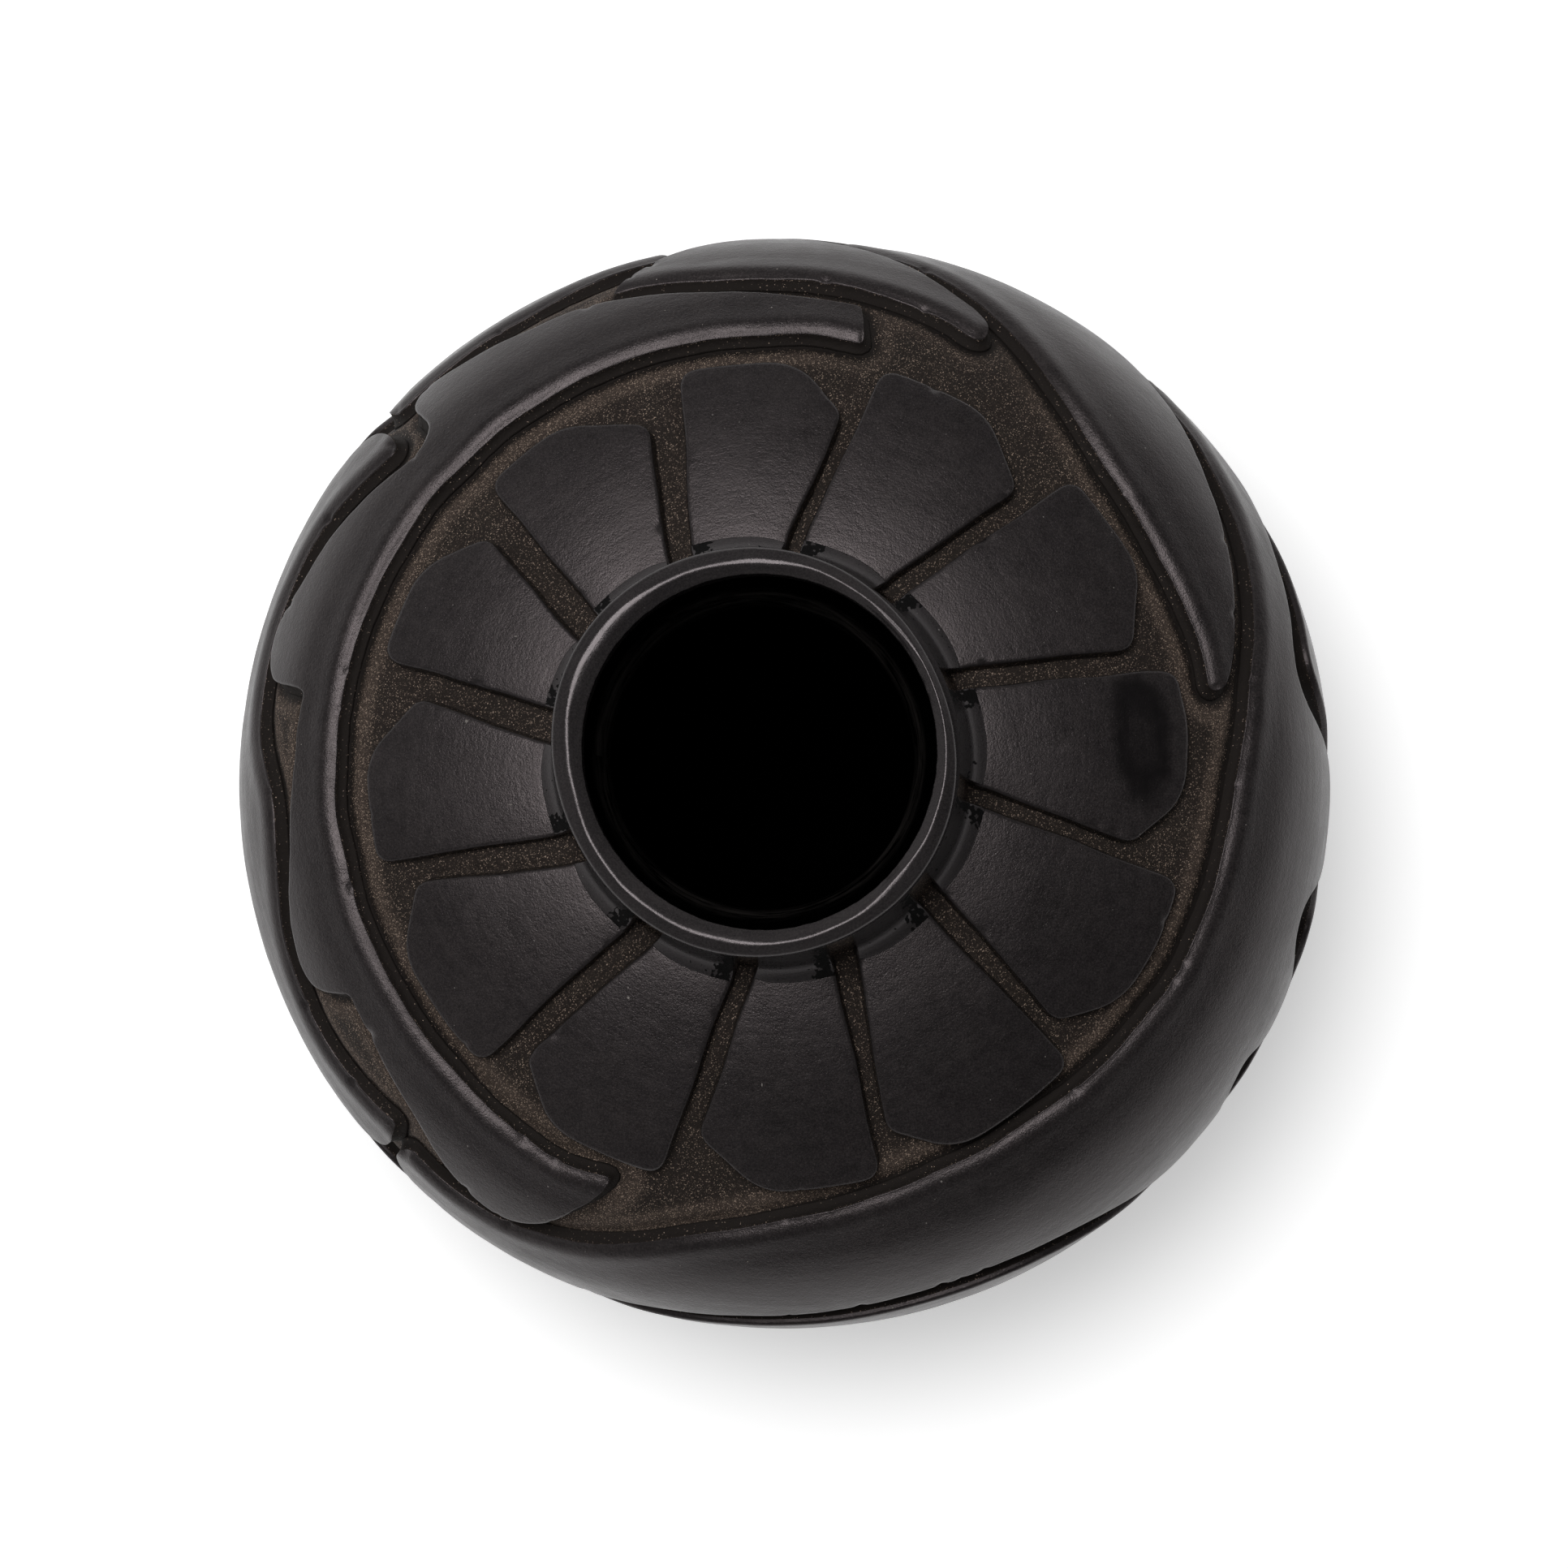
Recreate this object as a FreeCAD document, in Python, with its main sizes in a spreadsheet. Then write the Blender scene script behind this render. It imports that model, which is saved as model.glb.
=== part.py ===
"""Carved black clay pot, as a parametric FreeCAD document in millimetres.

+Z is up and the origin is the middle of the flat foot, on the surface that the pot rests on.
The outline of the body is three arcs, tangent to each other: shoulder, belly and lower body.
A direction on an arc is its tilt: the angle between the outward normal and +Z, in degrees.
A place on the carved body is (azimuth, reach): azimuth in degrees, anticlockwise from +X seen
from above, and reach, the distance in millimetres down the body from the crease at the neck.

The burnished surface is cut away to the relief depth wherever the background shows. The vessel
wall lies under that depth, and what the carving leaves standing are pieces on top of it.
"""
import FreeCAD
import Part
import Sketcher
import math
import os
from BOPTools import SplitAPI
from FreeCAD import Vector

SHEET_NAME = "Sheet"
Z_AXIS = Vector(0, 0, 1)
# A sketch's origin, as (geometry, point).
ORIGIN_POINT = (-1, 1)
# Two places in plan nearer than this are the same corner.
SAME_PLACE = 0.01
# How far a cut passes beyond the clay that it cuts, in millimetres.
BLOCK_OVERCUT = 5.0
WALL_OVERCUT = 1.5
# The skin that a band is cut from runs this far past its outline, in degrees or millimetres.
SECTOR_MARGIN = 4.0
# No band's sector runs down past this reach.
BAND_END_REACH = 85.0
# The lower skirt's edge has a place every EDGE_STEP degrees, each the mean of the lowest
# carving over SMOOTHING_SPAN degrees on each side of it.
EDGE_STEP = 4
EDGE_WINDOW = 3.0
SMOOTHING_SPAN = 2

# Driving dimensions, in millimetres and degrees.
DIMENSIONS = {
    "body_radius": 80.0,
    "belly_height": 50.0,
    "belly_arc_radius": 34.0,
    "shoulder_arc_radius": 105.4,
    "lower_arc_radius": 87.5,
    "shoulder_end_tilt": 26.3,
    "belly_joint_tilt": 76.0,
    "belly_end_tilt": 125.0,
    "base_start_tilt": 148.0,
    "wall_depth": 8.0,
    "relief_depth": 2.4,
    "floor_height": 8.0,
    "crease_radius": 30.3,
    "throat_radius": 20.4,
    "throat_height": 91.0,
    "throat_foot_radius": 22.0,
    "neck_curve_radius": 22.0,
    "lip_base_height": 101.5,
    "lip_base_outer_radius": 27.0,
    "lip_base_inner_radius": 23.5,
    "lip_ring_radius": 25.75,
    "lip_ring_height": 105.2,
    "lip_roll_radius": 1.8,
    "block_base_height": 60.0,
    "block_length": 40.0,
    "corner_round": 2.2,
    "shoulder_round": 9.0,
    "channel_width": 4.6,
}

# Twelve feather panels round the neck, each with its middle azimuth. The rest is measured from
# that middle: left and right roots at the neck, left tip and its reach, the shoulder where the
# end turns down, and the right tip and its reach.
FEATHER_FIELDS = ("azimuth", "left_root", "left_tip", "reach", "shoulder",
                  "right_tip", "right_reach", "right_root")
FEATHERS = (
    (93.0, 16.2, 9.5, 27.7, -7.5, -15.4, 20.7, -9.1),
    (63.0, 16.6, 10.6, 29.1, -5.5, -16.0, 22.3, -7.7),
    (33.0, 16.3, 9.8, 29.8, -6.0, -16.0, 24.2, -8.5),
    (3.0, 15.7, 9.7, 30.0, -7.5, -15.9, 22.8, -10.3),
    (-27.0, 14.4, 10.9, 31.2, -7.0, -15.0, 24.6, -9.2),
    (-57.0, 13.9, 12.2, 31.0, -7.5, -14.9, 24.8, -7.6),
    (-87.0, 15.8, 12.3, 31.2, -4.0, -13.4, 23.6, -5.3),
    (-116.0, 17.8, 11.4, 30.6, -5.0, -13.5, 23.7, -4.9),
    (-146.0, 17.0, 12.2, 29.1, -6.5, -15.2, 22.4, -5.3),
    (-177.0, 17.0, 11.2, 27.6, -4.0, -13.8, 20.2, -7.0),
    (154.0, 12.3, 10.4, 27.3, -4.2, -13.1, 21.0, -6.5),
    (123.0, 15.8, 11.8, 26.8, -2.5, -13.9, 20.8, -7.0),
)

# Outlines of the carved bands: runs of (azimuth, reach). A run is one smooth curve, or a
# straight edge where it has two points, and each run starts where the one before it ends.
CREST_BAND = (
    ((77.5, 33.3), (100, 33.1), (130, 33.2), (160, 33.4), (190, 33.6), (210, 33.5), (226, 34.0),
     (238, 35.0), (249, 34.0)),
    ((249, 34.0), (247.8, 38.0), (246, 41.5)),
    ((246, 41.5), (243.5, 46.5), (240, 50.0), (236, 51.0), (231, 49.0), (222.5, 44.0),
     (215, 41.8), (208, 40.6)),
    ((208, 40.6), (206.5, 45.0), (204.5, 48.0), (201.5, 48.6), (196, 46.4), (187, 42.6),
     (178, 40.9), (170.5, 40.3)),
    ((170.5, 40.3), (170, 45.0), (169.2, 49.3), (166.8, 51.5), (163.5, 51.6), (157.5, 48.7),
     (148.5, 45.3), (142, 41.9), (138.5, 40.8), (135, 42.5)),
    ((135, 42.5), (134.6, 47.0), (134.4, 51.0), (132.5, 52.8), (129.5, 51.9), (122, 48.8),
     (112, 46.5), (102, 43.2), (91, 40.6), (78.7, 39.6)),
    ((78.7, 39.6), (77.5, 33.3)),
)
LEAF_BAND = (
    ((65, 41.0), (72, 43.2), (80, 44.6), (91, 45.6), (98, 46.9), (104, 48.3), (108.8, 48.8)),
    ((108.8, 48.8), (105, 53.0), (101, 58.2), (96, 61.6), (89, 61.2), (81, 57.2), (74, 52.2),
     (68, 47.6), (64.2, 44.6), (63.4, 42.4), (65, 41.0)),
)
SIDE_BAND = (
    ((101.5, 63.5), (106, 60.6), (112, 58.6), (120, 57.6), (128, 57.0), (135.6, 57.4)),
    ((135.6, 57.4), (136.8, 61.0), (135.6, 65.6), (127, 68.4), (118, 69.0), (109, 67.6),
     (101.5, 63.5)),
)
FINGER_BAND = (
    ((140, 46.6), (144.8, 49.7), (149, 52.4), (154, 54.2), (160, 55.2), (167, 55.4),
     (173, 54.4), (178, 51.2), (183, 48.3), (188.5, 48.3), (194, 50.2), (199, 52.5),
     (205, 54.6), (211, 55.0), (217, 53.8), (222.6, 51.6)),
    ((222.6, 51.6), (223.4, 55.5), (222.6, 60.5), (219, 64.4), (213, 66.2), (206, 65.8),
     (199.5, 63.6)),
    ((199.5, 63.6), (198, 67.6), (195, 69.9), (189, 69.2), (180, 66.0), (171.5, 64.0)),
    ((171.5, 64.0), (170, 68.2), (166.5, 70.6), (160, 69.6), (151, 66.0), (144, 61.4),
     (140, 56.6), (138.8, 51.6), (138.9, 48.4), (140, 46.6)),
)
CRESCENT_BAND = (
    ((9.8, 34.7), (15, 35.0), (27, 34.4), (36, 34.9), (45, 37.0), (54, 41.4), (62.5, 47.6),
     (70, 53.2), (77, 57.8), (84, 62.2)),
    ((84, 62.2), (78, 65.6), (70, 68.4), (61, 68.4), (53, 65.0), (45.5, 59.4), (39.5, 54.9),
     (34, 51.3), (27, 47.2), (20, 43.3), (14.5, 40.3), (11, 38.2), (9.2, 36.4), (9.8, 34.7)),
)
WAVE_BAND = (
    ((-134, 54.6), (-129, 55.4), (-124, 54.8), (-115, 50.6), (-106, 44.6), (-98, 39.6),
     (-88, 36.4), (-75, 34.3), (-62, 33.6), (-45, 34.7), (-30, 36.4), (-15, 37.5), (-4, 38.3),
     (4, 40.6), (12, 44.0), (20, 49.2), (28, 54.0), (38, 59.2), (48, 64.2)),
    ((48, 64.2), (43, 68.0), (35, 68.6), (28, 63.8), (22, 59.4), (16, 56.2), (11.5, 53.8),
     (8.3, 54.6), (6, 57.6), (3.5, 62.5), (0.5, 67.6), (-4, 70.2), (-9, 68.3), (-12, 63.6),
     (-14.8, 59.0), (-17.5, 59.2), (-20, 63.0), (-23, 67.6), (-26.5, 68.4), (-29.3, 65.6),
     (-31.6, 62.2), (-34, 63.2), (-37, 67.8), (-41, 70.2), (-46, 67.5), (-52, 61.8),
     (-60, 57.4), (-70, 56.1), (-80, 56.5), (-90, 58.0), (-99, 59.8), (-106, 62.6),
     (-113, 67.0), (-120, 69.2), (-127, 68.4), (-132.5, 64.6), (-135, 59.6), (-134, 54.6)),
)
BANDS = {
    "crest_band": CREST_BAND,
    "leaf_band": LEAF_BAND,
    "side_band": SIDE_BAND,
    "finger_band": FINGER_BAND,
    "crescent_band": CRESCENT_BAND,
    "wave_band": WAVE_BAND,
}


def make_sheet(doc):
    """Write the driving dimensions into the document's spreadsheet, one per row."""
    sheet = doc.addObject("Spreadsheet::Sheet", SHEET_NAME)
    cells = dict(DIMENSIONS)
    for number, feather in enumerate(FEATHERS, start=1):
        for field, value in zip(FEATHER_FIELDS, feather):
            cells[f"feather_{number:02d}_{field}"] = value
    for row, (alias, value) in enumerate(cells.items(), start=1):
        sheet.set(f"A{row}", alias)
        sheet.set(f"B{row}", str(value))
        sheet.setAlias(f"B{row}", alias)
    doc.recompute()
    return sheet


def cell(alias):
    """The name of a sheet cell inside an expression."""
    return f"{SHEET_NAME}.{alias}"


BELLY_CENTRE = (
    f"({cell('body_radius')} - {cell('belly_arc_radius')})",
    cell("belly_height"),
)


def arc_centre_expression(radius_alias, tilt_alias):
    """Centre of an arc that is tangent to the belly arc at the given tilt."""
    gap = f"({cell('belly_arc_radius')} - {cell(radius_alias)})"
    return (
        f"({BELLY_CENTRE[0]} + {gap} * sin({cell(tilt_alias)}))",
        f"({BELLY_CENTRE[1]} + {gap} * cos({cell(tilt_alias)}))",
    )


SHOULDER_CENTRE = arc_centre_expression("shoulder_arc_radius", "shoulder_end_tilt")
LOWER_CENTRE = arc_centre_expression("lower_arc_radius", "belly_end_tilt")


class Meridian:
    """The outline of the body, read from the sheet: places on it by reach and depth."""

    def __init__(self, sheet):
        self.relief_depth = sheet.relief_depth
        belly = (sheet.body_radius - sheet.belly_arc_radius, sheet.belly_height)
        self.arcs = []
        start = 0.0
        crease_tilt = None
        for radius, joint_tilt, end_tilt in (
            (sheet.shoulder_arc_radius, sheet.shoulder_end_tilt, sheet.shoulder_end_tilt),
            (sheet.belly_arc_radius, sheet.shoulder_end_tilt, sheet.belly_end_tilt),
            (sheet.lower_arc_radius, sheet.belly_end_tilt, sheet.base_start_tilt),
        ):
            joint = math.radians(joint_tilt)
            gap = sheet.belly_arc_radius - radius
            centre = (belly[0] + gap * math.sin(joint), belly[1] + gap * math.cos(joint))
            if crease_tilt is None:
                crease_tilt = math.asin((sheet.crease_radius - centre[0]) / radius)
                tilt = crease_tilt
            end = math.radians(end_tilt)
            self.arcs.append((start, tilt, end, centre, radius))
            start += radius * (end - tilt)
            tilt = end
        self.length = start

    def section_point(self, reach, depth):
        """(radius, height) of the place at a reach, a depth below the burnished surface."""
        start, tilt, _, centre, radius = [a for a in self.arcs if reach >= a[0] or a[0] == 0][-1]
        angle = tilt + (reach - start) / radius
        size = radius - depth
        return centre[0] + size * math.sin(angle), centre[1] + size * math.cos(angle)

    def point(self, azimuth, reach, depth):
        """The place in space at an azimuth, reach and depth."""
        radius, height = self.section_point(reach, depth)
        turn = math.radians(azimuth)
        return Vector(radius * math.cos(turn), radius * math.sin(turn), height)

    def skin_face(self, first, last):
        """Half section of the relief skin between two reaches, in the XZ plane."""
        stops = [first] + [a[0] for a in self.arcs if first < a[0] < last] + [last]
        outer = []
        inner = []
        for low, high in zip(stops, stops[1:]):
            for depth, edges in ((0.0, outer), (self.relief_depth, inner)):
                ends = [self.point(0, reach, depth) for reach in (low, (low + high) / 2, high)]
                edges.append(Part.Arc(*ends).toShape())
        sides = [
            Part.makeLine(self.point(0, reach, 0.0), self.point(0, reach, self.relief_depth))
            for reach in (first, last)
        ]
        return Part.Face(Part.Wire(Part.__sortEdges__(outer + inner + sides)))


def origin_plane(body, role):
    """One of the body's own origin planes, found by its role."""
    return next(f for f in body.Origin.OriginFeatures if f.Role == role)


def new_body(doc, name):
    body = doc.addObject("PartDesign::Body", name)
    body.Label = name
    return body


def new_sketch(body, name, role):
    sketch = body.newObject("Sketcher::SketchObject", name)
    sketch.AttachmentSupport = (origin_plane(body, role), [""])
    sketch.MapMode = "FlatFace"
    return sketch


def bind(sketch, kind, place, expression):
    """Add a dimension whose value is an expression of sheet cells."""
    value = float(sketch.evalExpression(expression))
    index = sketch.addConstraint(Sketcher.Constraint(kind, *place, value))
    sketch.setExpression(f"Constraints[{index}]", expression)


def pin(sketch, end, across=None, up=None):
    """Hold a sketch point at a distance across from and up from the origin."""
    if across is not None:
        bind(sketch, "DistanceX", (*ORIGIN_POINT, *end), across)
    if up is not None:
        bind(sketch, "DistanceY", (*ORIGIN_POINT, *end), up)


def join(sketch, first, second):
    sketch.addConstraint(Sketcher.Constraint("Coincident", *first, *second))


def value_of(sketch, pair):
    return Vector(*(float(sketch.evalExpression(text)) for text in pair), 0)


def add_line(sketch, start, end):
    return sketch.addGeometry(Part.LineSegment(start, end))


def add_arc(sketch, centre, radius, start, end):
    """Arc about a centre, anticlockwise from the direction of start to that of end."""
    angles = [math.atan2(p.y - centre.y, p.x - centre.x) for p in (start, end)]
    circle = Part.Circle(centre, Vector(0, 0, 1), radius)
    return sketch.addGeometry(Part.ArcOfCircle(circle, *angles))


def on_arc(centre, radius, tilt):
    """Expressions for the place at a tilt on an arc."""
    return f"{centre[0]} + ({radius}) * sin({tilt})", f"{centre[1]} + ({radius}) * cos({tilt})"


def add_bound_arc(sketch, centre, radius, first, last):
    """Arc about a bound centre with a bound radius, from tilt expression first to last.

    The arc runs clockwise as the tilt grows, so its start point is the one at the last tilt.
    """
    middle = value_of(sketch, centre)
    size = float(sketch.evalExpression(radius))
    ends = [value_of(sketch, on_arc(centre, radius, tilt)) for tilt in (last, first)]
    arc = add_arc(sketch, middle, size, *ends)
    pin(sketch, (arc, 3), *centre)
    bind(sketch, "Radius", (arc,), radius)
    return arc


def revolve(body, sketch):
    feature = body.newObject("PartDesign::Revolution", f"{body.Name}_turned")
    feature.Profile = sketch
    feature.ReferenceAxis = (sketch, ["V_Axis"])
    feature.Angle = 360.0
    sketch.Visibility = False
    return feature


def make_wall_stage(doc, name, centre, radius_alias, first, last):
    """A turned stage of the wall: between the carved background and the inside surface.

    first and last are (tilt expression, axis): the axis along which that end is pinned.
    """
    body = new_body(doc, name)
    sketch = new_sketch(body, f"{name}_section", "XZ_Plane")
    arcs = []
    for depth in ("relief_depth", "wall_depth"):
        radius = f"{cell(radius_alias)} - {cell(depth)}"
        arc = add_bound_arc(sketch, centre, radius, first[0], last[0])
        for position, (tilt, axis) in ((2, first), (1, last)):
            across, up = on_arc(centre, radius, tilt)
            if axis == "across":
                pin(sketch, (arc, position), across=across)
            else:
                pin(sketch, (arc, position), up=up)
        arcs.append(arc)
    for position in (1, 2):
        ends = [sketch.getPoint(arc, position) for arc in arcs]
        line = add_line(sketch, *ends)
        join(sketch, (line, 1), (arcs[0], position))
        join(sketch, (line, 2), (arcs[1], position))
    revolve(body, sketch)
    return body


def make_base_pat(doc):
    """The flat pat of clay that the pot is started on, turned up at its edge."""
    body = new_body(doc, "base_pat")
    sketch = new_sketch(body, "base_pat_section", "XZ_Plane")
    tilt = cell("base_start_tilt")
    arcs = []
    for radius, level in (
        (cell("lower_arc_radius"), "0"),
        (f"{cell('lower_arc_radius')} - {cell('wall_depth')}", cell("floor_height")),
    ):
        end_tilt = f"acos(({level} - {LOWER_CENTRE[1]}) / ({radius}))"
        arc = add_bound_arc(sketch, LOWER_CENTRE, radius, tilt, end_tilt)
        pin(sketch, (arc, 2), across=on_arc(LOWER_CENTRE, radius, tilt)[0])
        pin(sketch, (arc, 1), up=level)
        arcs.append(arc)
    side = add_line(sketch, sketch.getPoint(arcs[0], 2), sketch.getPoint(arcs[1], 2))
    join(sketch, (side, 1), (arcs[0], 2))
    join(sketch, (side, 2), (arcs[1], 2))
    foot = add_line(sketch, Vector(0, 0, 0), sketch.getPoint(arcs[0], 1))
    join(sketch, (foot, 1), ORIGIN_POINT)
    join(sketch, (foot, 2), (arcs[0], 1))
    floor_end = sketch.getPoint(arcs[1], 1)
    floor = add_line(sketch, Vector(0, floor_end.y, 0), floor_end)
    join(sketch, (floor, 2), (arcs[1], 1))
    sketch.addConstraint(Sketcher.Constraint("Horizontal", floor))
    middle = add_line(sketch, Vector(0, 0, 0), Vector(0, floor_end.y, 0))
    join(sketch, (middle, 1), ORIGIN_POINT)
    join(sketch, (middle, 2), (floor, 1))
    sketch.addConstraint(Sketcher.Constraint("Vertical", middle))
    revolve(body, sketch)
    return body


def add_outline(sketch, corners, bends):
    """Closed outline with pinned corners, in order round it.

    corners are pairs of expressions. bends[i] belongs to the side after corner i: None for a
    line, or (radius expression, side) for an arc that bulges to the left (1) or right (-1).
    """
    places = [value_of(sketch, pair) for pair in corners]
    pieces = []
    for index, bend in enumerate(bends):
        start = places[index]
        end = places[(index + 1) % len(places)]
        if bend is None:
            pieces.append((add_line(sketch, start, end), 1, 2))
            continue
        radius = float(sketch.evalExpression(bend[0]))
        chord = end - start
        rise = radius - math.sqrt(max(0.0, radius ** 2 - chord.Length ** 2 / 4))
        left = Vector(-chord.y, chord.x, 0).normalize()
        middle = (start + end) * 0.5 + left * (bend[1] * rise)
        arc = sketch.addGeometry(Part.Arc(start, middle, end))
        flipped = sketch.getPoint(arc, 1).distanceToPoint(start) > 1e-6
        pieces.append((arc, 2, 1) if flipped else (arc, 1, 2))
        bind(sketch, "Radius", (arc,), bend[0])
    for index, pair in enumerate(corners):
        geometry, first, _ = pieces[index]
        before, _, last = pieces[index - 1]
        join(sketch, (geometry, first), (before, last))
        pin(sketch, (geometry, first), *pair)


def make_neck_collar(doc):
    """The neck: from the throat inside and the crease outside up to the seat of the lip."""
    body = new_body(doc, "neck_collar")
    sketch = new_sketch(body, "neck_collar_section", "XZ_Plane")
    shoulder = cell("shoulder_arc_radius")
    ground = f"({shoulder} - {cell('relief_depth')})"
    inside = f"({shoulder} - {cell('wall_depth')})"
    run = f"({cell('crease_radius')} - {SHOULDER_CENTRE[0]})"
    seat_tilt = f"asin({run} / {ground})"
    foot_tilt = f"asin(({cell('throat_foot_radius')} - {SHOULDER_CENTRE[0]}) / {inside})"
    crease_tilt = f"asin({run} / {shoulder})"
    corners = (
        (cell("crease_radius"), on_arc(SHOULDER_CENTRE, ground, seat_tilt)[1]),
        (cell("crease_radius"), on_arc(SHOULDER_CENTRE, shoulder, crease_tilt)[1]),
        (cell("lip_base_outer_radius"), cell("lip_base_height")),
        (cell("lip_base_inner_radius"), cell("lip_base_height")),
        (cell("throat_radius"), cell("throat_height")),
        on_arc(SHOULDER_CENTRE, inside, foot_tilt),
        on_arc(SHOULDER_CENTRE, inside, seat_tilt),
    )
    neck_curve = (cell("neck_curve_radius"), 1)
    under_curve = (inside, 1)
    add_outline(sketch, corners, (None, neck_curve, None, None, None, under_curve, None))
    revolve(body, sketch)
    return body


def make_rim_lip(doc):
    """The rolled lip: a half round on top of the neck."""
    body = new_body(doc, "rim_lip")
    sketch = new_sketch(body, "rim_lip_section", "XZ_Plane")
    ring = (cell("lip_ring_radius"), cell("lip_ring_height"))
    roll = cell("lip_roll_radius")
    corners = (
        (cell("lip_base_inner_radius"), cell("lip_base_height")),
        (cell("lip_base_outer_radius"), cell("lip_base_height")),
        (f"{ring[0]} + {roll}", ring[1]),
        (ring[0], f"{ring[1]} + {roll}"),
        (f"{ring[0]} - {roll}", ring[1]),
    )
    add_outline(sketch, corners, (None, None, (roll, -1), (roll, -1), None))
    revolve(body, sketch)
    return body


def feather_cell(number, field):
    return cell(f"feather_{number:02d}_{field}")


def reach_radius(reach):
    """Expression for the distance from the pot's axis at a reach on the shoulder."""
    shoulder = cell("shoulder_arc_radius")
    crease_tilt = f"asin(({cell('crease_radius')} - {SHOULDER_CENTRE[0]}) / {shoulder})"
    turn = f"({reach} / {shoulder} * 180 / pi)"
    return f"({SHOULDER_CENTRE[0]} + {shoulder} * sin({crease_tilt} / 1deg + {turn}))"


def polar(radius, angle):
    return f"{radius} * cos({angle})", f"{radius} * sin({angle})"


def make_feather_outline(body, number):
    """Plan of a feather: root on the neck, blunt tip, and a shoulder that turns down."""
    sketch = new_sketch(body, f"{body.Name}_plan", "XY_Plane")
    sketch.AttachmentOffset = FreeCAD.Placement(Vector(0, 0, 1), FreeCAD.Rotation())
    sketch.setExpression("AttachmentOffset.Base.z", cell("block_base_height"))
    root = cell("crease_radius")
    tip = reach_radius(feather_cell(number, "reach"))
    right = reach_radius(feather_cell(number, "right_reach"))
    left_root = value_of(sketch, polar(root, feather_cell(number, "left_root")))
    right_root = value_of(sketch, polar(root, feather_cell(number, "right_root")))
    left_tip = value_of(sketch, polar(tip, feather_cell(number, "left_tip")))
    shoulder = value_of(sketch, polar(tip, feather_cell(number, "shoulder")))
    right_tip = value_of(sketch, polar(right, feather_cell(number, "right_tip")))
    centre = Vector(0, 0, 0)
    arcs = []
    for radius, start, end, fields in (
        (root, right_root, left_root, ("right_root", "left_root")),
        (tip, shoulder, left_tip, ("shoulder", "left_tip")),
    ):
        arc = add_arc(sketch, centre, float(sketch.evalExpression(radius)), start, end)
        join(sketch, (arc, 3), ORIGIN_POINT)
        bind(sketch, "Radius", (arc,), radius)
        for position, field in zip((1, 2), fields):
            pin(sketch, (arc, position), up=polar(radius, feather_cell(number, field))[1])
        arcs.append(arc)
    left_side = add_line(sketch, left_root, left_tip)
    join(sketch, (left_side, 1), (arcs[0], 2))
    join(sketch, (left_side, 2), (arcs[1], 2))
    slope = add_line(sketch, shoulder, right_tip)
    join(sketch, (slope, 1), (arcs[1], 1))
    pin(sketch, (slope, 2), *polar(right, feather_cell(number, "right_tip")))
    right_side = add_line(sketch, right_tip, right_root)
    join(sketch, (right_side, 1), (slope, 2))
    join(sketch, (right_side, 2), (arcs[0], 1))
    return sketch, left_tip, shoulder, right_tip


def upright_edges(shape, places):
    """Names of the upright edges that stand over the given places in plan."""
    names = []
    for index, edge in enumerate(shape.Edges, start=1):
        box = edge.BoundBox
        if max(box.XLength, box.YLength) > SAME_PLACE:
            continue
        gaps = [math.hypot(box.Center.x - p.x, box.Center.y - p.y) for p in places]
        if min(gaps) < SAME_PLACE:
            names.append(f"Edge{index}")
    return names


def round_edges(doc, body, base, places, radius_alias):
    doc.recompute()
    feature = body.newObject("PartDesign::Fillet", f"{body.Name}_{radius_alias}")
    feature.Base = (base, upright_edges(base.Shape, places))
    feature.setExpression("Radius", cell(radius_alias))
    return feature


def cut_to_skin(body):
    """Groove away what is above the burnished surface and below the carved background."""
    sketch = new_sketch(body, f"{body.Name}_skin", "XZ_Plane")
    near = f"{cell('crease_radius')} - {BLOCK_OVERCUT}"
    far = f"{cell('body_radius')} - {cell('wall_depth')}"
    block_top = f"{cell('block_base_height')} + {cell('block_length')}"
    for depth, level in (
        ("0", f"{block_top} + {BLOCK_OVERCUT}"),
        (cell("relief_depth"), f"{cell('block_base_height')} - {BLOCK_OVERCUT}"),
    ):
        radius = f"({cell('shoulder_arc_radius')} - {depth})"
        heights = [
            f"{SHOULDER_CENTRE[1]} + sqrt({radius}^2 - ({x} - {SHOULDER_CENTRE[0]})^2)"
            for x in (near, far)
        ]
        corners = ((near, heights[0]), (far, heights[1]), (far, level), (near, level))
        add_outline(sketch, corners, ((radius, 1), None, None, None))
    groove = body.newObject("PartDesign::Groove", f"{body.Name}_trim")
    groove.Profile = sketch
    groove.ReferenceAxis = (sketch, ["V_Axis"])
    groove.Angle = 360.0
    sketch.Visibility = False


def make_feather(doc, sheet, number):
    """One raised feather panel: a block in plan, its corners rounded, grooved to the skin."""
    body = new_body(doc, f"feather_panel_{number:02d}")
    sketch, left_tip, shoulder, right_tip = make_feather_outline(body, number)
    pad = body.newObject("PartDesign::Pad", f"{body.Name}_block")
    pad.Profile = sketch
    pad.setExpression("Length", cell("block_length"))
    sketch.Visibility = False
    corners = round_edges(doc, body, pad, (left_tip, right_tip), "corner_round")
    round_edges(doc, body, corners, (shoulder,), "shoulder_round")
    cut_to_skin(body)
    azimuth = sheet.get(f"feather_{number:02d}_azimuth")
    body.Placement = FreeCAD.Placement(Vector(), FreeCAD.Rotation(Z_AXIS, azimuth))
    return body


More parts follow.
